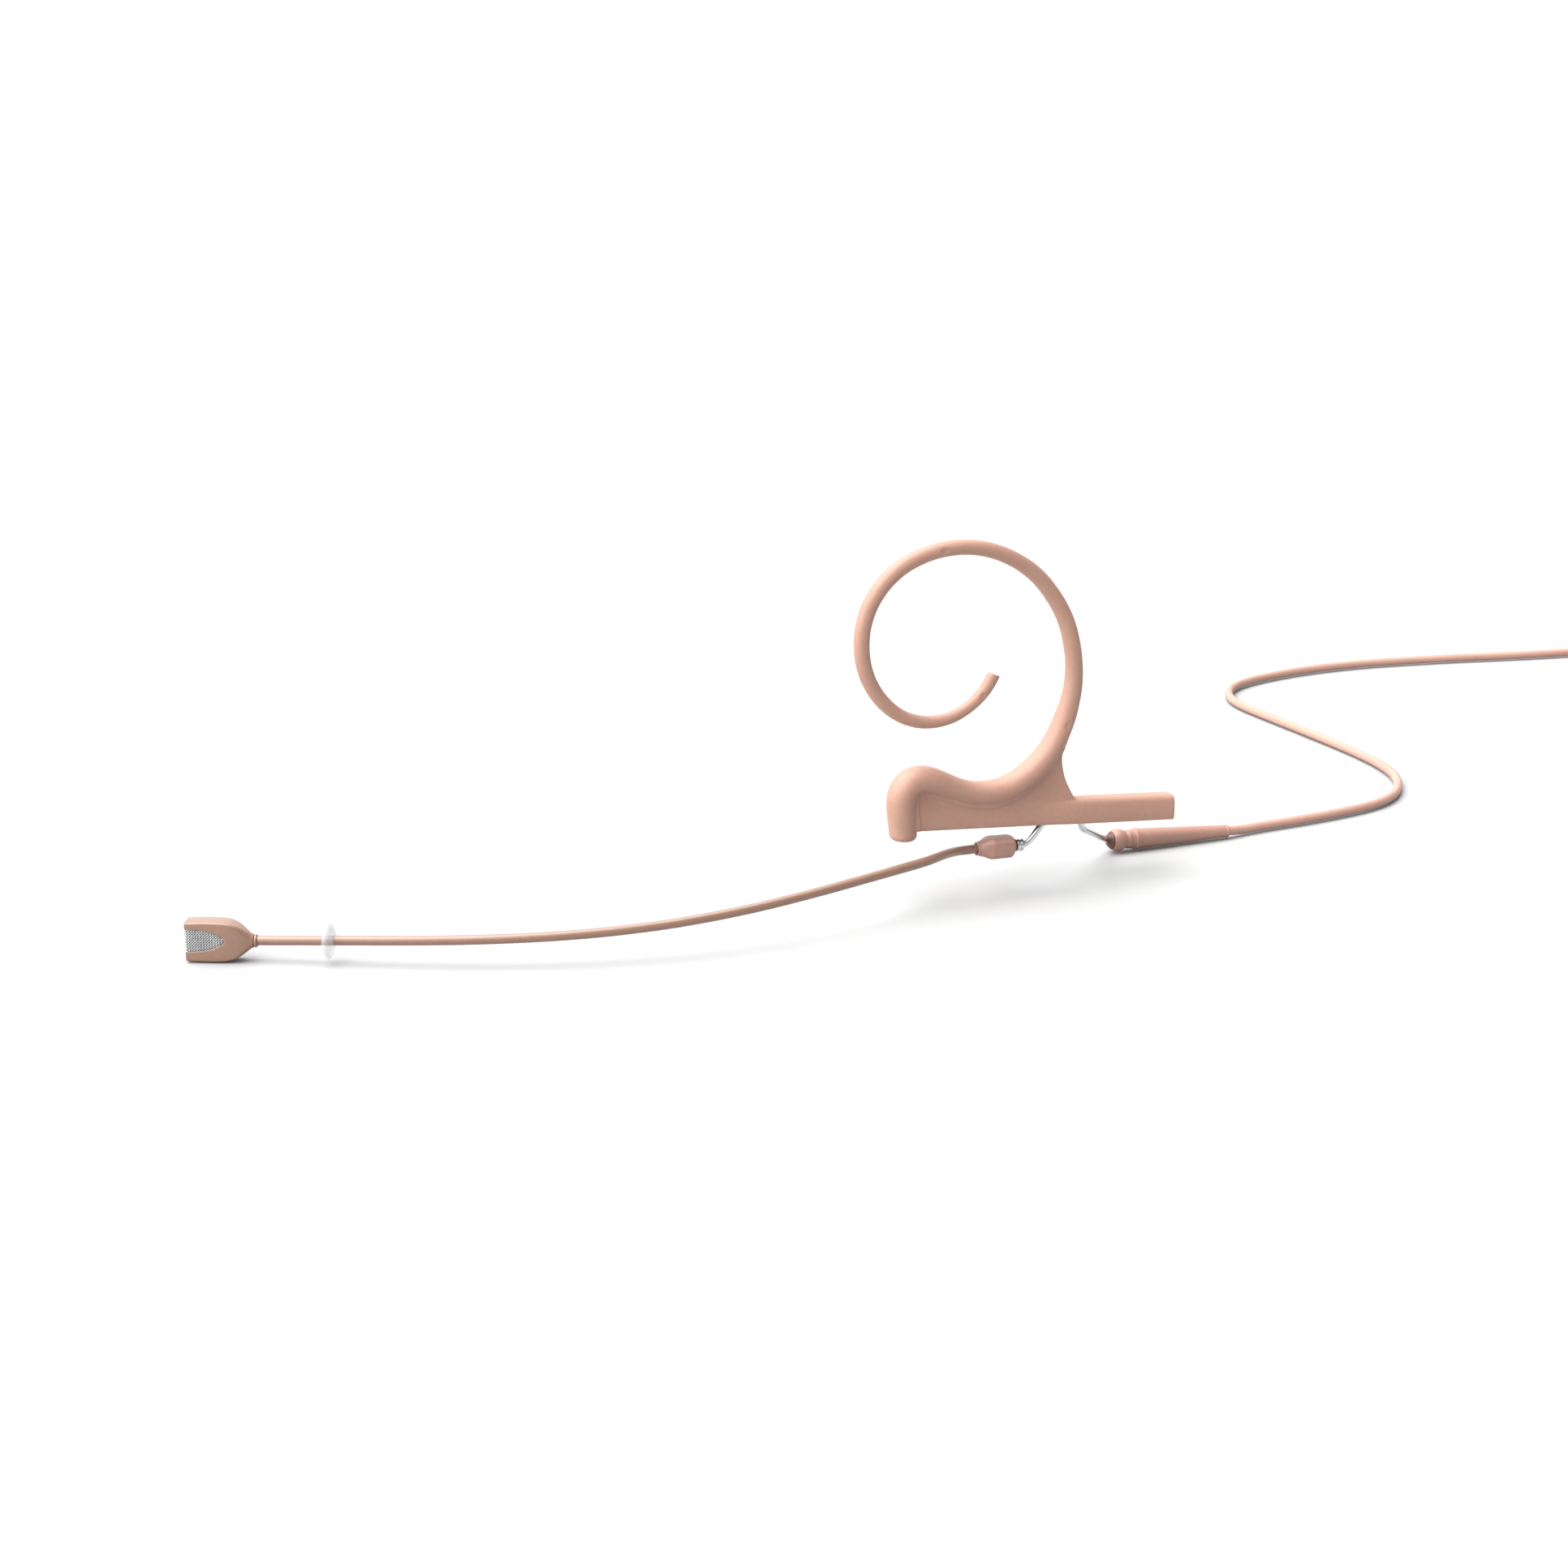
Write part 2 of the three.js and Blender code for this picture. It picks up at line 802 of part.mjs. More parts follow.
// ---------------------------------------------------------------- cable
const z0 = FLOOR_CORD_Z;
const CORD_OUT = [
  [62.75, 8.72, 1.03],
  [65.5, 9.15, 0.82],
  [70.2, 9.72, z0],
  [76.6, 10.15, z0],
  [83.1, 10.9, z0],
  [90.0, 12.15, z0],
  [95.0, 13.85, z0],
  [99.0, 16.4, z0],
  [102.0, 19.6, z0],
  [104.4, 23.2, z0],
  [106.3, 27.6, z0],
  [107.5, 33.3, z0],
  [108.0, 40.0, z0],
  [108.0, 47.0, z0],
  [107.5, 59.0, z0],
  [106.85, 72.0, z0],
  [106.75, 77.0, z0],
  [107.3, 81.5, z0],
  [108.9, 85.6, z0],
  [111.6, 89.2, z0],
  [115.6, 92.0, z0],
  [121.8, 94.2, z0],
  [130.0, 95.8, z0],
  [138.0, 96.3, z0],
  [145.4, 96.0, z0],
  [152.1, 95.1, z0],
  [158.8, 93.9, z0],
  [165.6, 92.5, z0],
  [175.3, 90.2, z0],
  [184.0, 88.4, z0],
  [193.6, 87.0, z0],
];
add("cord_run", tube(CORD_OUT, CORD_R, 8, 78), jacket);

// coil of turns, with a shallow notch underneath where the tie passes
const tieAngle = rad(-100);
const ring = solid(
  new THREE.LatheGeometry(
    [
      [COIL.rIn, 0.3],
      [COIL.rIn + 0.35, 0],
      [COIL.rOut - 0.35, 0],
      [COIL.rOut, 0.3],
      [COIL.rOut, COIL.h - 0.3],
      [COIL.rOut - 0.35, COIL.h],
      [COIL.rIn + 0.35, COIL.h],
      [COIL.rIn, COIL.h - 0.3],
      [COIL.rIn, 0.3],
    ].map(([r, z]) => new THREE.Vector2(r, z)),
    48,
  ).rotateX(Math.PI / 2),
);
const notch = box(COIL.rIn - 1, -1.9, -1, COIL.rOut + 1, 1.9, 0.75);
notch.rotateZ(tieAngle);
const coilGeometry = geometryOf(ring.subtract(solid(notch)));
coilGeometry.translate(COIL.x, COIL.y, 0);
add("cord_coil", coilGeometry, jacket);
const tieOuter = box(COIL.rIn - 0.75, -1.6, 0.02, COIL.rOut + 0.75, 1.6, COIL.h + 0.75);
const tieInner = box(COIL.rIn - 0.2, -2, 0.5, COIL.rOut + 0.2, 2, COIL.h + 0.2);
const tieGeometry = geometryOf(solid(tieOuter).subtract(solid(tieInner)));
tieGeometry.rotateZ(tieAngle);
tieGeometry.translate(COIL.x, COIL.y, 0);
add("cord_tie", tieGeometry, nylon);

// the last loose turn comes down beside the coil and runs to the connector
const onCoil = (r, deg, z) => [
  COIL.x + r * Math.cos(rad(deg)),
  COIL.y + r * Math.sin(rad(deg)),
  z,
];
const CORD_TAIL = [
  onCoil(TAIL_R, 96, 5.3),
  onCoil(TAIL_R, 80, 4.85),
  onCoil(TAIL_R, 62, 4.15),
  onCoil(TAIL_R, 44, 3.3),
  onCoil(TAIL_R, 26, 2.4),
  onCoil(TAIL_R, 8, 1.6),
  onCoil(TAIL_R, -8, 1.15),
];
const tailEnd = CORD_TAIL[CORD_TAIL.length - 1];
const tailDir = V(Math.sin(rad(-14)), -Math.cos(rad(-14)), 0);
const PLUG_Z = 3.02;
const plugTail = [
  tailEnd[0] + tailDir.x * 9,
  tailEnd[1] + tailDir.y * 9,
  PLUG_Z,
];
CORD_TAIL.push([
  tailEnd[0] + tailDir.x * 3.2,
  tailEnd[1] + tailDir.y * 3.2,
  1.35,
]);
CORD_TAIL.push([
  tailEnd[0] + tailDir.x * 6.2,
  tailEnd[1] + tailDir.y * 6.2,
  2.35,
]);
CORD_TAIL.push([
  plugTail[0] - tailDir.x * 0.3,
  plugTail[1] - tailDir.y * 0.3,
  PLUG_Z,
]);
add("cord_tail", tube(CORD_TAIL, CORD_R, 8, 20), jacket);

// ---------------------------------------------------------------- screw-on coaxial connector
const plug = new THREE.Group();
plug.position.set(...plugTail);
plug.rotation.z = Math.atan2(tailDir.y, tailDir.x);
headset.add(plug);
add(
  "plug_boot",
  turned(
    [
      [0, 0.85],
      [0, 1.25],
      [6.2, 1.95],
      [7.6, 2.05],
      [7.6, 0.85],
      [0, 0.85],
    ],
    14,
  ),
  moulded,
  plug,
);
add(
  "plug_body",
  turned(
    [
      [7.8, 0.6],
      [7.8, 2.3],
      [10.6, 2.3],
      [10.8, 1.85],
      [12.6, 1.85],
      [12.6, 2.25],
      [13.4, 2.25],
      [13.4, 1.75],
      [17.4, 1.75],
      [17.4, 1.45],
      [14.6, 1.45],
      [14.6, 0.6],
      [7.8, 0.6],
    ],
    16,
  ),
  chrome,
  plug,
);
add(
  "coupling_nut",
  turned(
    [
      [11.1, 2.05],
      [11.1, 2.8],
      [11.4, 3.0],
      [18.2, 3.0],
      [18.5, 2.9],
      [18.5, 2.42],
      [12.4, 2.42],
      [12.4, 2.05],
      [11.1, 2.05],
    ],
    16,
  ),
  chrome,
  plug,
);
add(
  "plug_insulator",
  turned(
    [
      [14.8, 0.5],
      [14.8, 1.3],
      [16.2, 1.3],
      [16.2, 0.5],
      [14.8, 0.5],
    ],
    12,
  ),
  ptfe,
  plug,
);
add(
  "plug_pin",
  turned(
    [
      [9.0, 0],
      [9.0, 0.38],
      [17.5, 0.38],
      [17.9, 0.15],
      [17.9, 0],
    ],
    10,
  ),
  gold,
  plug,
);

headset.position.set(-ORIGIN_X, -ORIGIN_Y, 0);
export default headset;
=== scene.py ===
import math

import bmesh
import bpy
import numpy as np
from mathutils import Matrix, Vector


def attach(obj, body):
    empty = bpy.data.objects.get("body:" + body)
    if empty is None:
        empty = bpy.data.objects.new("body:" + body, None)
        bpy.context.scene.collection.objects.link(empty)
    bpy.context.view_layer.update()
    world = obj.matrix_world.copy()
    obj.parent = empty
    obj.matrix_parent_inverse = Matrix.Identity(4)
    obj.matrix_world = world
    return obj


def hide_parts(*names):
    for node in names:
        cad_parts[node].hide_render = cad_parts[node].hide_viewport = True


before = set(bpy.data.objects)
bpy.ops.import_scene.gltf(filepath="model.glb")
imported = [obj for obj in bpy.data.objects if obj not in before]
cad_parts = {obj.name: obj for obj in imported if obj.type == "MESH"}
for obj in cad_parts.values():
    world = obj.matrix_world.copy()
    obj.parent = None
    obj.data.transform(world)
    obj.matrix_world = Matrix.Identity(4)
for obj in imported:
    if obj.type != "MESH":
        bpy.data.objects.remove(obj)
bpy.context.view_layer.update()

scene = bpy.context.scene

# ------------------------------------------------------------------ the part's own datum
# Lengths below are millimetres from the hook's foot; row() takes them to the row frame in metres.
SHIFT = np.array([21.8, -2.9, 0.0])


def row(p):
    return (np.asarray(p, float) + SHIFT) / 1000.0


def unit(v):
    v = np.asarray(v, float)
    return v / np.linalg.norm(v)


# ------------------------------------------------------------------ camera
cam_data = bpy.data.cameras.new("camera")
cam_data.lens = 74.53
cam_data.sensor_width = 36.0
cam_data.clip_start = 0.01
cam_data.clip_end = 60.0
cam = bpy.data.objects.new("camera", cam_data)
scene.collection.objects.link(cam)
cam.location = (-0.180186, -0.423547, 0.152)
cam.rotation_euler = (math.radians(74.0), 0.0, math.radians(-23.5))
scene.camera = cam
scene.view_settings.view_transform = "Standard"
scene.view_settings.look = "None"


# ------------------------------------------------------------------ curves and meshes
def catmull(points, step):
    """Centripetal Catmull-Rom line through points, resampled about every step."""
    P = np.asarray(points, float)
    P = np.vstack([2 * P[0] - P[1], P, 2 * P[-1] - P[-2]])
    out = []
    for i in range(1, len(P) - 2):
        p0, p1, p2, p3 = P[i - 1 : i + 3]
        t0 = 0.0
        t1 = t0 + max(np.linalg.norm(p1 - p0), 1e-6) ** 0.5
        t2 = t1 + max(np.linalg.norm(p2 - p1), 1e-6) ** 0.5
        t3 = t2 + max(np.linalg.norm(p3 - p2), 1e-6) ** 0.5
        n = max(2, int(math.ceil(np.linalg.norm(p2 - p1) / step)))
        t = np.linspace(t1, t2, n, endpoint=False)[:, None]
        a1 = (t1 - t) / (t1 - t0) * p0 + (t - t0) / (t1 - t0) * p1
        a2 = (t2 - t) / (t2 - t1) * p1 + (t - t1) / (t2 - t1) * p2
        a3 = (t3 - t) / (t3 - t2) * p2 + (t - t2) / (t3 - t2) * p3
        b1 = (t2 - t) / (t2 - t0) * a1 + (t - t0) / (t2 - t0) * a2
        b2 = (t3 - t) / (t3 - t1) * a2 + (t - t1) / (t3 - t1) * a3
        out.append((t2 - t) / (t2 - t1) * b1 + (t - t1) / (t2 - t1) * b2)
    out.append(P[-2][None, :])
    return np.vstack(out)


def even(points, step):
    """The same line with points at an even spacing."""
    P = np.asarray(points, float)
    d = np.concatenate([[0], np.cumsum(np.linalg.norm(np.diff(P, axis=0), axis=1))])
    n = max(2, int(round(d[-1] / step)) + 1)
    s = np.linspace(0, d[-1], n)
    return np.stack([np.interp(s, d, P[:, c]) for c in range(P.shape[1])], 1)


def relax(points, rounds):
    P = np.array(points, float)
    for _ in range(rounds):
        P[1:-1] = P[1:-1] * 0.5 + (P[:-2] + P[2:]) * 0.25
    return P


def mesh_object(name, verts, faces, smooth=True, doubles=0.0):
    me = bpy.data.meshes.new(name)
    me.from_pydata([tuple(v) for v in np.asarray(verts, float)], [], [tuple(int(i) for i in f) for f in faces])
    bm = bmesh.new()
    bm.from_mesh(me)
    if doubles > 0:
        bmesh.ops.remove_doubles(bm, verts=bm.verts, dist=doubles)
    bmesh.ops.dissolve_degenerate(bm, dist=1e-9, edges=bm.edges)
    bmesh.ops.recalc_face_normals(bm, faces=bm.faces)
    bm.to_mesh(me)
    bm.free()
    if smooth:
        me.polygons.foreach_set("use_smooth", [True] * len(me.polygons))
    me.update()
    ob = bpy.data.objects.new(name, me)
    scene.collection.objects.link(ob)
    return ob


def grid_faces(rows, cols, closed_cols=True, closed_rows=False, start=0):
    faces = []
    last = cols if closed_cols else cols - 1
    for i in range(rows if closed_rows else rows - 1):
        a = start + i * cols
        b = start + ((i + 1) % rows) * cols
        for j in range(last):
            k = (j + 1) % cols
            faces.append((a + j, a + k, b + k, b + j))
    return faces


def frames(path):
    """Tangent and two normals along a line, turned as little as possible."""
    P = np.asarray(path, float)
    T = np.gradient(P, axis=0)
    T /= np.linalg.norm(T, axis=1)[:, None]
    up = np.array([0.0, 0.0, 1.0])
    n = np.cross(T[0], up)
    if np.linalg.norm(n) < 1e-3:
        n = np.cross(T[0], [0.0, 1.0, 0.0])
    n = unit(n)
    N = [n]
    for i in range(1, len(P)):
        n = N[-1] - T[i] * np.dot(N[-1], T[i])
        N.append(unit(n))
    N = np.array(N)
    return T, N, np.cross(T, N)


def swept(name, path, radius, sides=24, bore=0.0, round_ends=0.0):
    """A round rod or tube along a line (datum millimetres). radius is a number or one per point."""
    P = np.asarray(path, float)
    T, N, B = frames(P)
    r = np.full(len(P), float(radius)) if np.isscalar(radius) else np.asarray(radius, float)
    a = np.linspace(0, 2 * math.pi, sides, endpoint=False)
    ring = lambda i, rr, off=0.0: P[i] + T[i] * off + np.outer(np.cos(a) * rr, N[i]) + np.outer(np.sin(a) * rr, B[i])
    rows = []
    if round_ends > 0:
        for k in range(4):
            q = math.pi / 2 * k / 4
            rows.append(ring(0, r[0] - round_ends * (1 - math.sin(q)), -0.0 + round_ends * (1 - math.cos(q)) * 0))
            rows[-1] = ring(0, r[0] - round_ends * (1 - math.sin(q)), 0) - T[0] * round_ends * math.cos(q)
    for i in range(len(P)):
        rows.append(ring(i, r[i]))
    if round_ends > 0:
        for k in range(1, 5):
            q = math.pi / 2 * k / 4
            rows.append(ring(-1, r[-1] - round_ends * (1 - math.cos(q)), 0) + T[-1] * round_ends * math.sin(q))
    if bore > 0:
        for i in range(len(P) - 1, -1, -1):
            rows.append(ring(i, bore))
        verts = np.vstack(rows)
        faces = grid_faces(len(rows), sides, True, True)
    else:
        verts = np.vstack(rows)
        faces = grid_faces(len(rows), sides)
        c0, c1 = len(verts), len(verts) + 1
        verts = np.vstack([verts, rows[0].mean(0), rows[-1].mean(0)])
        m = (len(rows) - 1) * sides
        for j in range(sides):
            k = (j + 1) % sides
            faces.append((c0, k, j))
            faces.append((c1, m + j, m + k))
    return mesh_object(name, row(verts), faces)


def fillet(profile, radius=0.08, n=4, closed=False):
    """Rounds the corners of a profile; a third number in a point is its own radius."""
    pts = [np.array(p[:2], float) for p in profile]
    rr = [p[2] if len(p) > 2 else radius for p in profile]
    if closed and np.allclose(pts[0], pts[-1]):
        pts, rr = pts[:-1], rr[:-1]
    out = []
    count = len(pts)
    for i in range(count):
        p = pts[i]
        if not closed and (i == 0 or i == count - 1):
            out.append(p)
            continue
        q0, q1 = pts[i - 1], pts[(i + 1) % count]
        u, v = q0 - p, q1 - p
        lu, lv = np.linalg.norm(u), np.linalg.norm(v)
        if lu < 1e-9 or lv < 1e-9:
            continue
        u, v = u / lu, v / lv
        c = float(np.clip(np.dot(u, v), -1, 1))
        half = math.acos(c) / 2
        if rr[i] <= 0 or half > math.radians(86):
            out.append(p)
            continue
        cut = min(rr[i] / math.tan(half), lu * 0.47, lv * 0.47)
        r = cut * math.tan(half)
        a, b = p + u * cut, p + v * cut
        centre = p + unit(u + v) * (r / math.sin(half))
        a0 = math.atan2(*(a - centre)[::-1])
        a1 = math.atan2(*(b - centre)[::-1])
        d = (a1 - a0 + math.pi) % (2 * math.pi) - math.pi
        out.append(a + u * min(cut * 0.25, lu * 0.02))
        for k in range(n + 1):
            t = a0 + d * k / n
            out.append(centre + r * np.array([math.cos(t), math.sin(t)]))
        out.append(b + v * min(cut * 0.25, lv * 0.02))
    if closed:
        out.append(out[0])
    return np.array(out)


def basis(direction):
    """Axes of a group whose +X runs along direction (as the shortest turn from +X)."""
    from mathutils import Quaternion
    q = Vector((1, 0, 0)).rotation_difference(Vector(unit(direction)))
    return np.array([list(q @ Vector(e)) for e in ((1, 0, 0), (0, 1, 0), (0, 0, 1))])


def turned(name, profile, origin, direction, sides=48, axes=None, wobble=None):
    """A solid of revolution about the group's +X, from [x, radius] points."""
    P = np.asarray(profile, float)
    closed = np.allclose(P[0], P[-1])
    if closed:
        P = P[:-1]
    ax = basis(direction) if axes is None else np.asarray(axes, float)
    a = np.linspace(0, 2 * math.pi, sides, endpoint=False)
    rows = []
    for x, r in P:
        rad = np.full(sides, max(r, 0.0))
        if wobble is not None:
            rad = rad + wobble(x, r, a)
        loc = np.stack([np.full(sides, x), rad * np.cos(a), rad * np.sin(a)], 1)
        rows.append(loc @ ax + np.asarray(origin, float))
    verts = np.vstack(rows)
    faces = grid_faces(len(rows), sides, True, closed)
    return mesh_object(name, row(verts), faces, doubles=1e-8)


def local(points, origin, axes):
    return np.asarray(points, float) @ np.asarray(axes, float) + np.asarray(origin, float)


# ------------------------------------------------------------------ implicit shapes
def smin(a, b, k):
    h = np.clip(0.5 + 0.5 * (b - a) / k, 0, 1)
    return b + (a - b) * h - k * h * (1 - h)


def smax(a, b, k):
    return -smin(-a, -b, k)


def nets(fn, lo, hi, h, rounds=3):
    """The surface fn = 0 as a quad mesh (surface nets, then pulled onto the surface)."""
    lo, hi = np.asarray(lo, float), np.asarray(hi, float)
    n = np.ceil((hi - lo) / h).astype(int) + 1
    ax = [lo[c] + h * np.arange(n[c]) for c in range(3)]
    F = np.empty(n)
    for i in range(n[0]):
        Y, Z = np.meshgrid(ax[1], ax[2], indexing="ij")
        Q = np.stack([np.full(Y.size, ax[0][i]), Y.ravel(), Z.ravel()], 1)
        F[i] = fn(Q).reshape(n[1], n[2])
    S = F < 0
    m = n - 1
    total = np.zeros(tuple(m) + (3,))
    count = np.zeros(m)
    base = np.stack(np.meshgrid(*[np.arange(k) for k in m], indexing="ij"), -1).astype(float)
    corner = lambda A, o: A[o[0] : o[0] + m[0], o[1] : o[1] + m[1], o[2] : o[2] + m[2]]
    for c in range(3):
        o = [0, 1, 2]
        o.remove(c)
        for s in range(2):
            for t in range(2):
                p = [0, 0, 0]
                p[o[0]], p[o[1]] = s, t
                q = list(p)
                q[c] = 1
                fa, fb = corner(F, p), corner(F, q)
                hit = (fa < 0) != (fb < 0)
                w = np.where(hit, fa / np.where(hit, fa - fb, 1), 0)
                pos = base + np.array(p, float)
                pos[..., c] += w
                total += np.where(hit[..., None], pos, 0)
                count += hit
    used = count > 0
    index = -np.ones(m, int)
    index[used] = np.arange(used.sum())
    V = lo + h * (total[used] / count[used][:, None])
    faces = []
    for c in range(3):
        d = [(1, 2), (2, 0), (0, 1)][c]
        sl0 = [slice(1, m[k]) for k in range(3)]
        sl0[c] = slice(0, m[c])
        sl1 = list(sl0)
        sl1[c] = slice(1, m[c] + 1)
        a, b = S[tuple(sl0)], S[tuple(sl1)]
        at = np.argwhere(a != b)
        if not len(at):
            continue
        flip = a[tuple(at.T)]
        cell = at.copy()
        for k in range(3):
            if k != c:
                cell[:, k] += 1
        e0, e1 = np.zeros(3, int), np.zeros(3, int)
        e0[d[0]], e1[d[1]] = 1, 1
        q = [cell - e0 - e1, cell - e1, cell, cell - e0]
        q = np.stack([index[tuple(v.T)] for v in q], 1)
        q[~flip] = q[~flip][:, ::-1]
        faces.append(q)
    Q = np.vstack(faces)

    def pull(V, times):
        for _ in range(times):
            f = fn(V)
            g = np.empty_like(V)
            for c in range(3):
                e = np.zeros(3)
                e[c] = h * 0.15
                g[:, c] = (fn(V + e) - fn(V - e)) / (h * 0.3)
            step = (f / np.maximum((g * g).sum(1), 0.2))[:, None] * g
            size = np.linalg.norm(step, axis=1)
            step *= np.minimum(1, h * 0.6 / np.maximum(size, 1e-12))[:, None]
            V = V - step
        return V

    V = pull(V, 2)
    for _ in range(rounds):
        mean = np.zeros_like(V)
        num = np.zeros(len(V))
        for i in range(4):
            np.add.at(mean, Q[:, i], V[Q[:, (i + 1) % 4]] + V[Q[:, (i - 1) % 4]])
            np.add.at(num, Q[:, i], 2)
        V = V * 0.4 + 0.6 * mean / num[:, None]
        V = pull(V, 1)
    return pull(V, 1), Q


def nets_object(name, fn, lo, hi, h, origin=(0, 0, 0), axes=np.eye(3), rounds=3):
    V, Q = nets(fn, lo, hi, h, rounds)
    me = bpy.data.meshes.new(name)
    me.vertices.add(len(V))
    me.vertices.foreach_set("co", row(local(V, origin, axes)).ravel())
    me.loops.add(Q.size)
    me.loops.foreach_set("vertex_index", Q.ravel())
    me.polygons.add(len(Q))
    me.polygons.foreach_set("loop_start", np.arange(len(Q)) * 4)
    me.polygons.foreach_set("use_smooth", np.ones(len(Q), bool))
    me.update(calc_edges=True)
    me.validate()
    ob = bpy.data.objects.new(name, me)
    scene.collection.objects.link(ob)
    bm = bmesh.new()
    bm.from_mesh(me)
    bmesh.ops.recalc_face_normals(bm, faces=bm.faces)
    bm.to_mesh(me)
    bm.free()
    return ob


class Line2:
    """A line in a plane with a radius along it: distance to its rod's surface, quickly."""

    def __init__(self, stations, lo, hi, cell=0.25):
        self.P = np.asarray(stations, float)
        self.a, self.b = self.P[:-1, :2], self.P[1:, :2]
        self.ra, self.rb = self.P[:-1, 2], self.P[1:, 2]
        self.lo, self.cell = np.asarray(lo, float), cell
        self.n = np.ceil((np.asarray(hi, float) - self.lo) / cell).astype(int) + 2
        X, Z = np.meshgrid(*[self.lo[c] + cell * np.arange(self.n[c]) for c in range(2)], indexing="ij")
        Q = np.stack([X.ravel(), Z.ravel()], 1)
        best = np.full(len(Q), 1e9)
        self.near = np.zeros(len(Q), int)
        for i in range(len(self.a)):
            d, t = self._seg(Q, i)
            d = d - (self.ra[i] + (self.rb[i] - self.ra[i]) * t)
            m = d < best
            best[m] = d[m]
            self.near[m] = i
        self.near = self.near.reshape(self.n)

    def _seg(self, Q, i):
        a, b = self.a[i], self.b[i]
        ab = b - a
        t = np.clip(((Q - a) * ab).sum(-1) / np.maximum((ab * ab).sum(-1), 1e-12), 0, 1)
        return np.linalg.norm(Q - (a + t[:, None] * ab), axis=1), t

    def __call__(self, x, z):
        """Distance in the plane from the line, and the rod's radius there."""
        Q = np.stack([x, z], 1)
        c = np.clip(np.rint((Q - self.lo) / self.cell).astype(int), 0, self.n - 1)
        near = self.near[c[:, 0], c[:, 1]]
        best = np.full(len(Q), 1e9)
        dist = np.zeros(len(Q))
        rad = np.zeros(len(Q))
        for k in (-2, -1, 0, 1, 2):
            i = np.clip(near + k, 0, len(self.a) - 1)
            d, t = self._seg(Q, i)
            r = self.ra[i] + (self.rb[i] - self.ra[i]) * t
            m = d - r < best
            best = np.where(m, d - r, best)
            dist = np.where(m, d, dist)
            rad = np.where(m, r, rad)
        return dist, rad


def polygon_distance(x, z, poly):
    d = np.full(len(x), 1e18)
    inside = np.zeros(len(x), bool)
    n = len(poly)
    for i in range(n):
        ax_, az_ = poly[i]
        bx_, bz_ = poly[(i + 1) % n]
        ex, ez = bx_ - ax_, bz_ - az_
        t = np.clip(((x - ax_) * ex + (z - az_) * ez) / max(ex * ex + ez * ez, 1e-12), 0, 1)
        d = np.minimum(d, (x - ax_ - t * ex) ** 2 + (z - az_ - t * ez) ** 2)
        cross = ((az_ > z) != (bz_ > z)) & (x < ex * (z - az_) / (bz_ - az_ if bz_ != az_ else 1e-12) + ax_)
        inside ^= cross
    return np.where(inside, -1, 1) * np.sqrt(d)


def smoothstep(a, b, x):
    t = np.clip((x - a) / (b - a), 0, 1)
    return t * t * (3 - 2 * t)


# ------------------------------------------------------------------ materials
def srgb(r, g, b):
    f = lambda c: ((c / 255 + 0.055) / 1.055) ** 2.4 if c > 10 else c / 255 / 12.92
    return (f(r), f(g), f(b), 1.0)


def new_material(name):
    m = bpy.data.materials.new(name)
    m.use_nodes = True
    nt = m.node_tree
    nt.nodes.clear()
    out = nt.nodes.new("ShaderNodeOutputMaterial")
    bsdf = nt.nodes.new("ShaderNodeBsdfPrincipled")
    nt.links.new(bsdf.outputs[0], out.inputs[0])
    coords = nt.nodes.new("ShaderNodeTexCoord")
    return m, nt, bsdf, coords


def noise(nt, coords, scale, detail=3.0, rough=0.55):
    n = nt.nodes.new("ShaderNodeTexNoise")
    n.inputs["Scale"].default_value = scale
    n.inputs["Detail"].default_value = detail
    n.inputs["Roughness"].default_value = rough
    nt.links.new(coords.outputs["Object"], n.inputs["Vector"])
    return n.outputs["Fac"] if "Fac" in n.outputs else n.outputs[0]


def ramp(nt, fac, stops):
    r = nt.nodes.new("ShaderNodeValToRGB")
    els = r.color_ramp.elements
    while len(els) > 1:
        els.remove(els[-1])
    els[0].position, els[0].color = stops[0]
    for p, c in stops[1:]:
        e = els.new(p)
        e.color = c
    nt.links.new(fac, r.inputs[0])
    return r.outputs[0]


def remap(nt, fac, a, b, lo, hi):
    m = nt.nodes.new("ShaderNodeMapRange")
    m.inputs["From Min"].default_value = a
    m.inputs["From Max"].default_value = b
    m.inputs["To Min"].default_value = lo
    m.inputs["To Max"].default_value = hi
    nt.links.new(fac, m.inputs["Value"])
    return m.outputs[0]


def maths(nt, op, a, b=None):
    m = nt.nodes.new("ShaderNodeMath")
    m.operation = op
    for i, v in enumerate((a, b)):
        if v is None:
            continue
        if isinstance(v, (int, float)):
            m.inputs[i].default_value = v
        else:
            nt.links.new(v, m.inputs[i])
    return m.outputs[0]


def mix_colour(nt, fac, a, b, mode="MIX"):
    m = nt.nodes.new("ShaderNodeMix")
    m.data_type = "RGBA"
    m.blend_type = mode
    for key, v in ((0, fac), (6, a), (7, b)):
        if isinstance(v, (int, float)):
            m.inputs[key].default_value = v
        elif isinstance(v, tuple):
            m.inputs[key].default_value = v
        else:
            nt.links.new(v, m.inputs[key])
    return m.outputs[2]


def bump(nt, bsdf, height, strength, distance, previous=None):
    b = nt.nodes.new("ShaderNodeBump")
    b.inputs["Strength"].default_value = strength
    b.inputs["Distance"].default_value = distance
    nt.links.new(height, b.inputs["Height"])
    if previous is not None:
        nt.links.new(previous, b.inputs["Normal"])
    nt.links.new(b.outputs[0], bsdf.inputs["Normal"])
    return b.outputs[0]


def scaled(c, k):
    return (c[0] * k, c[1] * k, c[2] * k, 1.0)


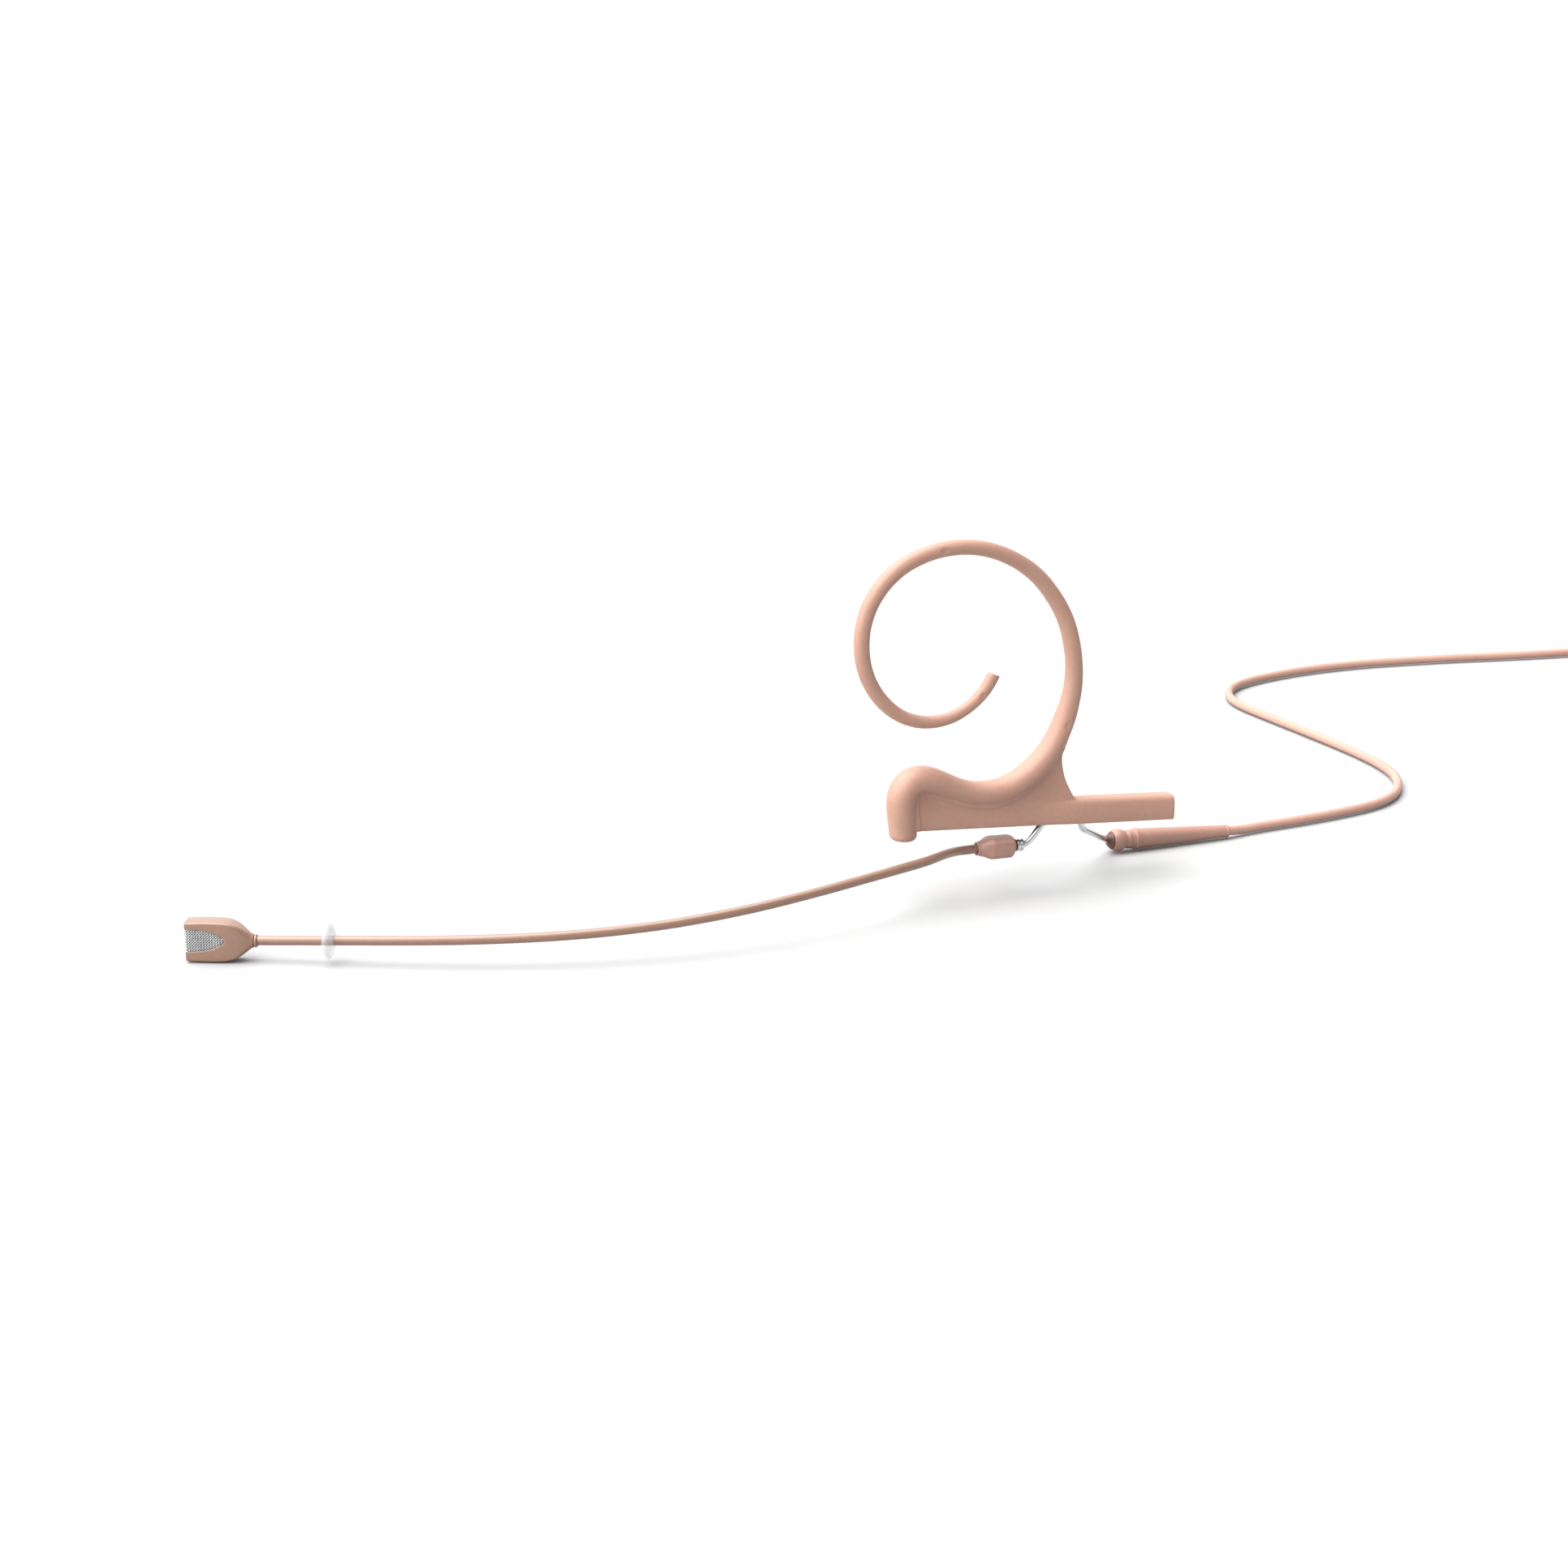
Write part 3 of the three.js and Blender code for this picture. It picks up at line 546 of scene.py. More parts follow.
def polymer(name, base, rough, grain, grain_mm, sss=0.0, coat=0.0, spec=0.5, mottling=0.05, sheen=0.0):
    """Moulded or painted plastic: broad tone drift, fine speckle, fine grain and roughness drift."""
    m, nt, bsdf, co = new_material(name)
    broad = noise(nt, co, 90.0, 3.0)
    fine = noise(nt, co, 1600.0, 2.0, 0.6)
    col = ramp(nt, broad, [(0.3, scaled(base, 1 - mottling)), (0.5, base), (0.7, scaled(base, 1 + mottling))])
    speck = ramp(nt, fine, [(0.32, scaled((1, 1, 1, 1), 0.93)), (0.62, (1, 1, 1, 1))])
    col = mix_colour(nt, 1.0, col, speck, "MULTIPLY")
    nt.links.new(col, bsdf.inputs["Base Color"])
    nt.links.new(remap(nt, fine, 0.3, 0.7, rough - 0.06, rough + 0.06), bsdf.inputs["Roughness"])
    bsdf.inputs["Specular IOR Level"].default_value = spec
    if sss:
        bsdf.inputs["Subsurface Weight"].default_value = sss
        bsdf.inputs["Subsurface Radius"].default_value = (1.0, 0.45, 0.25)
        bsdf.inputs["Subsurface Scale"].default_value = 0.0006
    if coat:
        bsdf.inputs["Coat Weight"].default_value = coat
        bsdf.inputs["Coat Roughness"].default_value = 0.25
    if sheen:
        bsdf.inputs["Sheen Weight"].default_value = sheen
        bsdf.inputs["Sheen Roughness"].default_value = 0.4
    n = noise(nt, co, 1000.0 / grain_mm, 2.0, 0.5)
    first = bump(nt, bsdf, n, grain, 0.00003)
    bump(nt, bsdf, noise(nt, co, 260.0, 2.0), 0.12, 0.00006, first)
    return m


def metal(name, base, rough, scratch=0.3, smudge=0.06, stretch=(1, 1, 1), grain=2600.0, amount=0.08):
    """Plated or drawn metal: smudges in the roughness, faint drawn lines in the bump."""
    m, nt, bsdf, co = new_material(name)
    bsdf.inputs["Metallic"].default_value = 1.0
    broad = noise(nt, co, 400.0, 4.0)
    mapping = nt.nodes.new("ShaderNodeMapping")
    mapping.inputs["Scale"].default_value = stretch
    nt.links.new(co.outputs["Object"], mapping.inputs["Vector"])
    lines = nt.nodes.new("ShaderNodeTexNoise")
    lines.inputs["Scale"].default_value = grain
    lines.inputs["Detail"].default_value = 3.0
    nt.links.new(mapping.outputs[0], lines.inputs["Vector"])
    lf = lines.outputs[0]
    col = ramp(nt, broad, [(0.35, scaled(base, 0.93)), (0.6, base)])
    nt.links.new(col, bsdf.inputs["Base Color"])
    nt.links.new(remap(nt, broad, 0.3, 0.7, max(rough - smudge, 0.02), rough + smudge), bsdf.inputs["Roughness"])
    bump(nt, bsdf, lf, amount * scratch, 0.00001)
    return m


SKIN = (0.362, 0.204, 0.151, 1.0)
M = {}
M["silicone"] = polymer("silicone", SKIN, 0.5, 0.16, 0.22, sss=0.12, spec=0.42, mottling=0.025, sheen=0.08)
M["moulded_beige"] = polymer("moulded_beige", (0.335, 0.186, 0.146, 1.0), 0.42, 0.2, 0.16, spec=0.42, mottling=0.03)
M["mic_shell"] = polymer("mic_shell", (0.225, 0.123, 0.08, 1.0), 0.42, 0.22, 0.14, coat=0.55, spec=0.5, mottling=0.03)
M["boom_enamel"] = polymer("boom_enamel", (0.21, 0.116, 0.079, 1.0), 0.34, 0.08, 0.3, coat=0.5, spec=0.5, mottling=0.03)
M["cable_jacket"] = polymer("cable_jacket", (0.4, 0.23, 0.18, 1.0), 0.42, 0.12, 0.2, spec=0.45, mottling=0.03)
# dark brown for the cone at the strain relief's mouth: painted shade standing in for the shadowed hollow of the mouth
M["mouth_shade"] = polymer("painted_shade_mouth", srgb(92, 64, 54), 0.5, 0.1, 0.2, spec=0.35)
M["bright_chrome"] = metal("bright_chrome", (0.66, 0.685, 0.705, 1), 0.1, 0.15, 0.03)
M["nickel"] = metal("nickel", (0.46, 0.445, 0.415, 1), 0.24, 0.5, 0.07, (1, 1, 6), 1500.0, 0.2)
M["spring_steel"] = metal("spring_steel", (0.56, 0.57, 0.58, 1), 0.3, 0.8, 0.06, (6, 1, 6), 1800.0, 0.25)
M["steel_mesh"] = metal("steel_mesh", (0.6, 0.61, 0.62, 1), 0.32, 0.4, 0.06)
M["gold_contact"] = metal("gold_contact", (0.86, 0.62, 0.26, 1), 0.18, 0.4, 0.05)


def lead_material():
    m, nt, bsdf, co = new_material("lead_wire")
    w = nt.nodes.new("ShaderNodeTexWave")
    w.bands_direction = "DIAGONAL"
    w.inputs["Scale"].default_value = 1400.0
    w.inputs["Distortion"].default_value = 0.6
    nt.links.new(co.outputs["Object"], w.inputs["Vector"])
    col = ramp(nt, w.outputs[0], [(0.2, (0.35, 0.13, 0.05, 1)), (0.7, (0.72, 0.36, 0.18, 1))])
    nt.links.new(col, bsdf.inputs["Base Color"])
    bsdf.inputs["Metallic"].default_value = 0.9
    nt.links.new(remap(nt, noise(nt, co, 900.0), 0.3, 0.7, 0.25, 0.42), bsdf.inputs["Roughness"])
    bump(nt, bsdf, w.outputs[0], 0.4, 0.00002)
    return m


def clear_material():
    m, nt, bsdf, co = new_material("clear_ring")
    cloud = noise(nt, co, 700.0, 2.0)
    nt.links.new(ramp(nt, cloud, [(0.3, (0.5, 0.5, 0.5, 1)), (0.7, (0.56, 0.56, 0.56, 1))]), bsdf.inputs["Base Color"])
    nt.links.new(remap(nt, cloud, 0.3, 0.7, 0.24, 0.34), bsdf.inputs["Roughness"])
    bsdf.inputs["IOR"].default_value = 1.4
    bsdf.inputs["Alpha"].default_value = 0.33
    bump(nt, bsdf, noise(nt, co, 1500.0, 2.0), 0.1, 0.00003)
    return m


def board_material():
    m, nt, bsdf, co = new_material("circuit_board")
    v = nt.nodes.new("ShaderNodeTexVoronoi")
    v.feature = "DISTANCE_TO_EDGE"
    v.inputs["Scale"].default_value = 2600.0
    nt.links.new(co.outputs["Object"], v.inputs["Vector"])
    col = ramp(nt, v.outputs[0], [(0.05, (0.16, 0.32, 0.13, 1)), (0.12, (0.035, 0.13, 0.06, 1))])
    nt.links.new(col, bsdf.inputs["Base Color"])
    nt.links.new(remap(nt, noise(nt, co, 1200.0), 0.3, 0.7, 0.3, 0.45), bsdf.inputs["Roughness"])
    bump(nt, bsdf, v.outputs[0], 0.3, 0.00003)
    return m


def ptfe_material():
    m, nt, bsdf, co = new_material("white_insulator")
    n = noise(nt, co, 900.0, 3.0)
    nt.links.new(ramp(nt, n, [(0.3, (0.76, 0.75, 0.71, 1)), (0.7, (0.86, 0.855, 0.83, 1))]), bsdf.inputs["Base Color"])
    nt.links.new(remap(nt, n, 0.3, 0.7, 0.35, 0.5), bsdf.inputs["Roughness"])
    bsdf.inputs["Subsurface Weight"].default_value = 0.2
    bsdf.inputs["Subsurface Scale"].default_value = 0.0005
    bump(nt, bsdf, n, 0.15, 0.00003)
    return m


def strap_material():
    """Woven tie tape: two crossing rib waves, dark grey, soft sheen."""
    m, nt, bsdf, co = new_material("tie_fabric")
    mapping = nt.nodes.new("ShaderNodeMapping")
    mapping.inputs["Rotation"].default_value = (0, 0, math.radians(10))
    nt.links.new(co.outputs["Object"], mapping.inputs["Vector"])

    def wave(direction, scale):
        w = nt.nodes.new("ShaderNodeTexWave")
        w.bands_direction = direction
        w.inputs["Scale"].default_value = scale
        w.inputs["Distortion"].default_value = 0.25
        nt.links.new(mapping.outputs[0], w.inputs["Vector"])
        return w.outputs[0]

    a = wave("X", 520.0)
    b = wave("Y", 520.0)
    c = wave("Z", 520.0)
    weave = maths(nt, "MULTIPLY", maths(nt, "MAXIMUM", a, c), b)
    col = ramp(nt, weave, [(0.1, (0.012, 0.012, 0.014, 1)), (0.8, (0.075, 0.075, 0.085, 1))])
    lint = noise(nt, co, 2400.0, 2.0)
    col = mix_colour(nt, 1.0, col, ramp(nt, lint, [(0.4, (0.85, 0.85, 0.85, 1)), (0.75, (1.5, 1.5, 1.5, 1))]), "MULTIPLY")
    nt.links.new(col, bsdf.inputs["Base Color"])
    nt.links.new(remap(nt, lint, 0.3, 0.7, 0.7, 0.88), bsdf.inputs["Roughness"])
    bsdf.inputs["Sheen Weight"].default_value = 0.25
    bsdf.inputs["Sheen Roughness"].default_value = 0.4
    bump(nt, bsdf, weave, 0.6, 0.00008)
    return m


M["lead_wire"] = lead_material()
M["clear_ring"] = clear_material()
M["circuit_board"] = board_material()
M["white_insulator"] = ptfe_material()
M["tie_fabric"] = strap_material()
M["chip"] = polymer("chip_black", srgb(38, 38, 40), 0.4, 0.1, 0.15)

CABLE = "boom_and_cable"


def place(ob, material, slot, body, *nodes):
    ob.data.materials.clear()
    ob.data.materials.append(M[material])
    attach(ob, body)
    if nodes:
        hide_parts(*nodes)
    return ob


# ------------------------------------------------------------------ the cable: one continuous curve
CORD_R = 0.75
Z0 = 0.78
COIL = np.array([198.5, 72.5])
TAIL_R = 14.85
RELIEF_FROM = np.array([40.95, 9.2, 1.88])
RELIEF_TO = np.array([62.35, 8.7, 1.05])
OUT = [
    [62.75, 8.72, 1.03], [65.5, 9.15, 0.82], [70.2, 9.72, Z0], [76.6, 10.15, Z0], [83.1, 10.9, Z0],
    [90.0, 12.15, Z0], [95.0, 13.85, Z0], [99.0, 16.4, Z0], [102.0, 19.6, Z0], [104.4, 23.2, Z0],
    [106.3, 27.6, Z0], [107.5, 33.3, Z0], [108.0, 40.0, Z0], [108.0, 47.0, Z0], [107.5, 59.0, Z0],
    [106.85, 72.0, Z0], [106.75, 77.0, Z0], [107.3, 81.5, Z0], [108.9, 85.6, Z0], [111.6, 89.2, Z0],
    [115.6, 92.0, Z0], [121.8, 94.2, Z0], [130.0, 95.8, Z0], [138.0, 96.3, Z0], [145.4, 96.0, Z0],
    [152.1, 95.1, Z0], [158.8, 93.9, Z0], [165.6, 92.5, Z0], [175.3, 90.2, Z0], [184.0, 88.4, Z0],
    [193.6, 87.0, Z0],
]


def coil_state(th):
    """Radius and height of the wound cable after th degrees of turning."""
    R = [13.0, 11.4, 9.8, 8.2]
    r, z = R[0], Z0
    rad = [(300, 0, 1), (660, 1, 2), (1020, 2, 3), (1620, 3, 2), (1980, 2, 1), (2340, 1, 0),
           (2940, 0, 1), (3300, 1, 2), (3660, 2, 3), (4260, 3, 2), (4620, 2, 1), (4980, 1, 0)]
    for at, a, b in rad:
        if th >= at:
            r = R[a] + (R[b] - R[a]) * smoothstep(at, at + 60, th)
    for at in (1320, 2640, 3960):
        z += 1.6 * smoothstep(at, at + 60, th)
    out = smoothstep(5300, 5384, th)
    r += (TAIL_R - 13.0) * out
    z += (5.28 - 5.58) * out
    return float(r), float(z)


def coil_point(th):
    r, z = coil_state(th)
    phi = math.radians(75.0 - th)
    # every turn rises a little where the tie passes under the coil
    off = (75.0 - th + 100.0 + 180.0) % 360.0 - 180.0
    arc = math.radians(off) * r
    z += 0.52 * math.exp(-((arc / 3.3) ** 2)) if th < 5300 else 0.0
    return [COIL[0] + r * math.cos(phi), COIL[1] + r * math.sin(phi), z]


tail_dir = np.array([math.sin(math.radians(-14)), -math.cos(math.radians(-14)), 0.0])
on_coil = lambda deg, z: [COIL[0] + TAIL_R * math.cos(math.radians(deg)), COIL[1] + TAIL_R * math.sin(math.radians(deg)), z]
tail = [on_coil(d, z) for d, z in ((80, 4.85), (62, 4.15), (44, 3.3), (26, 2.4), (8, 1.6), (-8, 1.15))]
tail_end = np.array(tail[-1])
PLUG_Z = 3.02
plug_at = np.array([tail_end[0] + tail_dir[0] * 9, tail_end[1] + tail_dir[1] * 9, PLUG_Z])
tail += [
    [tail_end[0] + tail_dir[0] * 3.2, tail_end[1] + tail_dir[1] * 3.2, 1.35],
    [tail_end[0] + tail_dir[0] * 6.2, tail_end[1] + tail_dir[1] * 6.2, 2.35],
    list(plug_at - tail_dir * 0.3),
    list(plug_at + tail_dir * 3.0),
]
relief_dir = unit(RELIEF_TO - RELIEF_FROM)
into = [list(RELIEF_TO - relief_dir * 3.0)]
join = [
    [COIL[0] + 14.15 * math.cos(math.radians(96)), COIL[1] + 14.15 * math.sin(math.radians(96)), Z0],
    [COIL[0] + 13.25 * math.cos(math.radians(84)), COIL[1] + 13.25 * math.sin(math.radians(84)), Z0],
]
COIL_STEP = 11.0
coil_points = [coil_point(t) for t in np.arange(0, 5384, COIL_STEP)]
cord_points = into + OUT + join + coil_points + tail
CP = np.array(cord_points)
curve = bpy.data.curves.new("cable", "CURVE")
curve.dimensions = "3D"
curve.bevel_depth = CORD_R / 1000
curve.bevel_resolution = 5
curve.resolution_u = 8
curve.use_fill_caps = True
spline = curve.splines.new("BEZIER")
spline.bezier_points.add(len(CP) - 1)
CR = row(CP)
for i, bp in enumerate(spline.bezier_points):
    p = CR[i]
    a = CR[max(i - 1, 0)]
    b = CR[min(i + 1, len(CR) - 1)]
    t = unit(b - a)
    la = np.linalg.norm(p - a) / 3
    lb = np.linalg.norm(b - p) / 3
    bp.handle_left_type = bp.handle_right_type = "FREE"
    bp.co = p
    bp.handle_left = p - t * (la if la > 0 else lb)
    bp.handle_right = p + t * (lb if lb > 0 else la)
cable = bpy.data.objects.new("cable", curve)
scene.collection.objects.link(cable)
place(cable, "cable_jacket", "cable_jacket", CABLE, "cord_run", "cord_coil", "cord_tail")


# ------------------------------------------------------------------ connector on the cable's end
PLUG_AXES = np.array([tail_dir, [-tail_dir[1], tail_dir[0], 0.0], [0, 0, 1]])
plug = lambda name, prof, sides=56, wobble=None: turned(name, prof, plug_at, tail_dir, sides, PLUG_AXES, wobble)

# boot: tapered, with shallow flex ribs cut round it
rib = []
for x in np.linspace(0.6, 5.6, 90):
    base = 1.27 + (x / 6.2) * 0.68
    k = 0.5 + 0.5 * math.cos((x - 0.6) / 1.0 * 2 * math.pi)
    rib.append([x, base - 0.16 * (1 - k) ** 2])
boot_profile = np.vstack([
    fillet([[1.0, 0.85], [0, 0.85], [0, 1.18], [0.45, 1.3]], 0.14), rib,
    fillet([[5.75, 1.9], [6.2, 1.96], [7.6, 2.05], [7.6, 0.85], [1.0, 0.85]], 0.16),
])
boot = place(plug("plug_boot_visual", boot_profile), "moulded_beige", "moulded_beige", CABLE, "plug_boot")
body_profile = fillet([
    [7.8, 0.6], [7.8, 2.3, 0.16], [8.9, 2.3, 0.04], [8.98, 2.2, 0.04], [9.16, 2.2, 0.04], [9.24, 2.3, 0.04],
    [10.6, 2.3, 0.1], [10.8, 1.85, 0.06], [12.6, 1.85, 0.05], [12.6, 2.25, 0.05], [13.4, 2.25, 0.05],
    [13.4, 1.75, 0.05], [17.4, 1.75, 0.1], [17.4, 1.45, 0.05], [14.6, 1.45, 0.04], [14.6, 0.6, 0.04], [7.8, 0.6],
], 0.06, 4, True)
body = place(plug("plug_body_visual", body_profile), "nickel", "nickel", CABLE, "plug_body")


def knurl(x, r, a):
    if r < 2.85 or x < 12.0 or x > 17.4:
        return 0.0 * a
    edge = smoothstep(12.0, 12.35, x) * (1 - smoothstep(17.05, 17.4, x))
    u = a * 26 / 2
    v = (x - 12.0) * 2.05
    d = np.minimum(np.abs(np.sin(u + v)), np.abs(np.sin(u - v)))
    return -0.15 * edge * (1 - np.clip(d / 0.5, 0, 1))


nut_profile = fillet([
    [11.1, 2.05], [11.1, 2.8, 0.12], [11.4, 3.0, 0.1], [18.2, 3.0, 0.12], [18.5, 2.9, 0.08], [18.5, 2.42, 0.06],
    [12.4, 2.42, 0.04], [12.4, 2.05, 0.04], [11.1, 2.05],
], 0.08, 4, True)
# extra rings where the knurl is
extra = []
for i in range(len(nut_profile) - 1):
    p, q = nut_profile[i], nut_profile[i + 1]
    extra.append(p)
    if p[1] > 2.98 and q[1] > 2.98 and q[0] - p[0] > 3:
        for x in np.linspace(p[0], q[0], 110)[1:-1]:
            extra.append(np.array([x, 3.0]))
extra.append(nut_profile[-1])
nut = place(plug("coupling_nut_visual", np.array(extra), 208, knurl), "nickel", "nickel", "nut", "coupling_nut")
insulator = place(
    plug("plug_insulator_visual", fillet([[14.8, 0.5], [14.8, 1.3], [16.2, 1.3, 0.12], [16.2, 0.5], [14.8, 0.5]], 0.06, 4, True)),
    "white_insulator", "white_insulator", CABLE, "plug_insulator")
pin = place(
    plug("plug_pin_visual", fillet([[9.0, 0], [9.0, 0.38], [17.3, 0.38, 0.2], [17.75, 0.16, 0.1], [17.9, 0.0]], 0.05), 32),
    "gold_contact", "gold_contact", CABLE, "plug_pin")

# tie: a woven strap round the bundle, its free end lapped back over the top
TIE = math.radians(-100.0)
er = np.array([math.cos(TIE), math.sin(TIE), 0.0])
et = np.array([-math.sin(TIE), math.cos(TIE), 0.0])
ez = np.array([0.0, 0.0, 1.0])


def strap(name, line, closed, width=3.1, thick=0.42):
    L = np.asarray(line, float)
    n = len(L)
    if closed:
        T = np.roll(L, -1, 0) - np.roll(L, 1, 0)
    else:
        T = np.gradient(L, axis=0)
    T /= np.linalg.norm(T, axis=1)[:, None]
    Nn = np.stack([T[:, 1], -T[:, 0]], 1)
    sec = []
    rr = 0.13
    for sx, sy, a0 in ((1, 1, 0), (-1, 1, 90), (-1, -1, 180), (1, -1, 270)):
        for k in range(4):
            a = math.radians(a0 + 30 * k)
            sec.append((sx * (width / 2 - rr) + rr * math.cos(a), sy * (thick / 2 - rr) + rr * math.sin(a)))
    rows = []
    for i in range(n):
        w = 1.0
        if not closed:
            e = min(i, 6) / 6.0
            w = math.sqrt(max(1 - (1 - e) ** 2, 0.0)) * 0.55 + 0.45 if i < 6 else 1.0
        for u, v in sec:
            q = L[i] + Nn[i] * v
            rows.append(np.array([COIL[0], COIL[1], 0]) + er * q[0] + ez * q[1] + et * u * w)
    m = len(sec)
    faces = grid_faces(n, m, True, closed)
    verts = np.array(rows)
    if not closed:
        faces.append(tuple(range(m)))
        faces.append(tuple((n - 1) * m + k for k in range(m))[::-1])
    return mesh_object(name, row(verts), faces)


def rounded_loop(r0, r1, z0, z1, c, n=8):
    out = []
    for cx, cz, a0 in ((r1 - c, z1 - c, 0), (r0 + c, z1 - c, 90), (r0 + c, z0 + c, 180), (r1 - c, z0 + c, 270)):
        for k in range(n + 1):
            a = math.radians(a0 + 90 * k / n)
            out.append([cx + c * math.cos(a), cz + c * math.sin(a)])
    return out


loop_line = rounded_loop(7.02, 14.18, 0.27, 7.18, 1.1)
tie = strap("cable_tie", loop_line, True)
lap = catmull([[8.9, 7.63], [10.5, 7.63], [12.2, 7.63], [13.15, 7.58], [13.95, 7.32], [14.46, 6.75], [14.63, 6.0], [14.63, 4.6], [14.63, 3.2], [14.6, 2.6]], 0.3)
lap_ob = strap("cable_tie_end", lap, False, 3.0, 0.4)
place(tie, "tie_fabric", "tie_fabric", CABLE, "cord_tie")
place(lap_ob, "tie_fabric", "tie_fabric", CABLE)

# ------------------------------------------------------------------ ear hook
HOOK = [
    [0.40, 6.9, 2.08], [0.38, 9.0, 2.1], [0.36, 11.0, 2.1],
    [0.16, 12.8, 2.16], [0.02, 14.6, 2.2], [0.1, 16.3, 2.24], [0.95, 17.85, 2.26], [2.6, 18.62, 2.18],
    [4.5, 18.4, 2.08], [6.6, 17.55, 1.95], [9.0, 16.45, 1.86], [11.6, 15.55, 1.86], [14.2, 15.2, 1.92],
    [16.8, 15.42, 1.9], [19.3, 16.25, 1.88], [21.6, 17.6, 1.87], [23.6, 19.3, 1.8], [25.3, 21.4, 1.7],
    [26.6, 23.7, 1.67], [27.7, 26.3, 1.63], [28.45, 28.8, 1.54], [28.82, 31.39, 1.46], [28.77, 34.5, 1.38],
    [28.26, 37.52, 1.37], [27.44, 40.36, 1.33], [26.16, 43.0, 1.31], [24.54, 45.43, 1.28], [22.69, 47.65, 1.26],
    [20.53, 49.53, 1.24], [18.05, 51.1, 1.2], [15.5, 52.3, 1.19], [12.87, 53.1, 1.19], [10.18, 53.52, 1.18],
    [7.51, 53.55, 1.2], [4.86, 53.24, 1.21], [2.33, 52.54, 1.24], [-0.08, 51.5, 1.26], [-2.19, 50.04, 1.29],
    [-3.99, 48.18, 1.29], [-5.41, 45.99, 1.28], [-6.3, 43.51, 1.25], [-6.68, 40.86, 1.24], [-6.5, 38.0, 1.22],
    [-5.73, 35.3, 1.18], [-4.35, 32.75, 1.14], [-2.37, 30.44, 1.1], [0.07, 28.65, 1.03], [2.88, 27.6, 0.99],
    [5.7, 27.34, 0.96], [8.3, 27.78, 0.95], [10.55, 28.75, 0.96], [12.42, 30.05, 0.98], [13.87, 31.5, 1.0],
    [14.97, 33.2, 1.01], [15.75, 34.8, 1.01],
]
HOOK = [[x, z, r * (0.97 if z > 28 else 1.0)] for x, z, r in HOOK]
TIP_DIR = unit([0.35, 0.94])
TIP = np.array([15.2, 33.74])
hook_line = relax(even(catmull(HOOK, 0.2), 0.5), 3)
LO2, HI2 = (-10.5, 5.0), (49.5, 57.5)
rod = Line2(hook_line, LO2, HI2)
BAR_MID = (30.0, 10.7)
BAR_SLOPE = -0.0735
BAR_DIR = unit([1.0, BAR_SLOPE])
BAR_NRM = np.array([-BAR_DIR[1], BAR_DIR[0]])
bar_z = lambda x: BAR_MID[1] + BAR_SLOPE * (x - BAR_MID[0])
groove_z = lambda x: bar_z(x) - 2.0 + 1.0
right_edge = catmull([
    [29.1, 26.6], [28.35, 24.2], [27.5, 22.0], [26.95, 20.4], [26.8, 19.3], [26.95, 18.1], [27.4, 16.3],
    [28.25, 14.4], [28.95, 13.15], [30.2, 12.1],
], 0.35)
left_top = [[26.6, 23.7], [25.3, 21.4], [23.6, 19.3], [21.6, 17.6], [19.3, 16.25], [16.8, 15.42], [14.2, 15.2],
            [11.6, 15.55], [9.0, 16.45], [6.6, 17.55], [4.5, 18.4], [2.6, 18.5], [1.2, 17.5], [0.8, 15.5]]
WEB = [[0.8, bar_z(0.8) - 1.71], [33.0, bar_z(33.0) - 1.71], [33.0, bar_z(33.0)]] + [list(p) for p in right_edge[::-1]] + left_top
bore_line = even(catmull([
    [26.95, 10.6, 0.43], [26.9, 11.9, 0.43], [26.75, 14.0, 0.43], [26.5, 16.5, 0.43], [26.25, 18.8, 0.43], [26.2, 21.0, 0.43],
] + [[x, z, 0.43] for x, z, _ in HOOK[19:-2]], 0.2), 0.5)
bore = Line2(bore_line, LO2, HI2)
PINS = [(27.1, 24.85), (6.5, 53.45), (13.0, 30.5)]
W_X = [18.0, 20.0, 22.3, 23.5, 25.5, 27.5, 29.5, 31.0, 50.0]
W_Y = [1.60, 1.60, 1.63, 1.67, 1.78, 1.92, 1.99, 2.0, 2.0]
W_C = [0.085, 0.085, 0.083, 0.079, 0.098, 0.082, 0.066, 0.06, 0.06]


def stretch(x, z):
    """How much deeper than tall the roll's section is, from the foot to the loop."""
    return 1 + (0.07 + 0.08 * smoothstep(1.5, 6.0, x)) * (1 - smoothstep(21.0, 28.0, z))


PIN_R = 1.5
PIN_BALLS = []
for px, pz in PINS:
    k = int(np.argmin((hook_line[:, 0] - px) ** 2 + (hook_line[:, 1] - pz) ** 2))
    cx, cz, rk = hook_line[k]
    PIN_BALLS.append(np.array([cx, -(rk * float(stretch(cx, cz)) + PIN_R - 0.2), cz]))


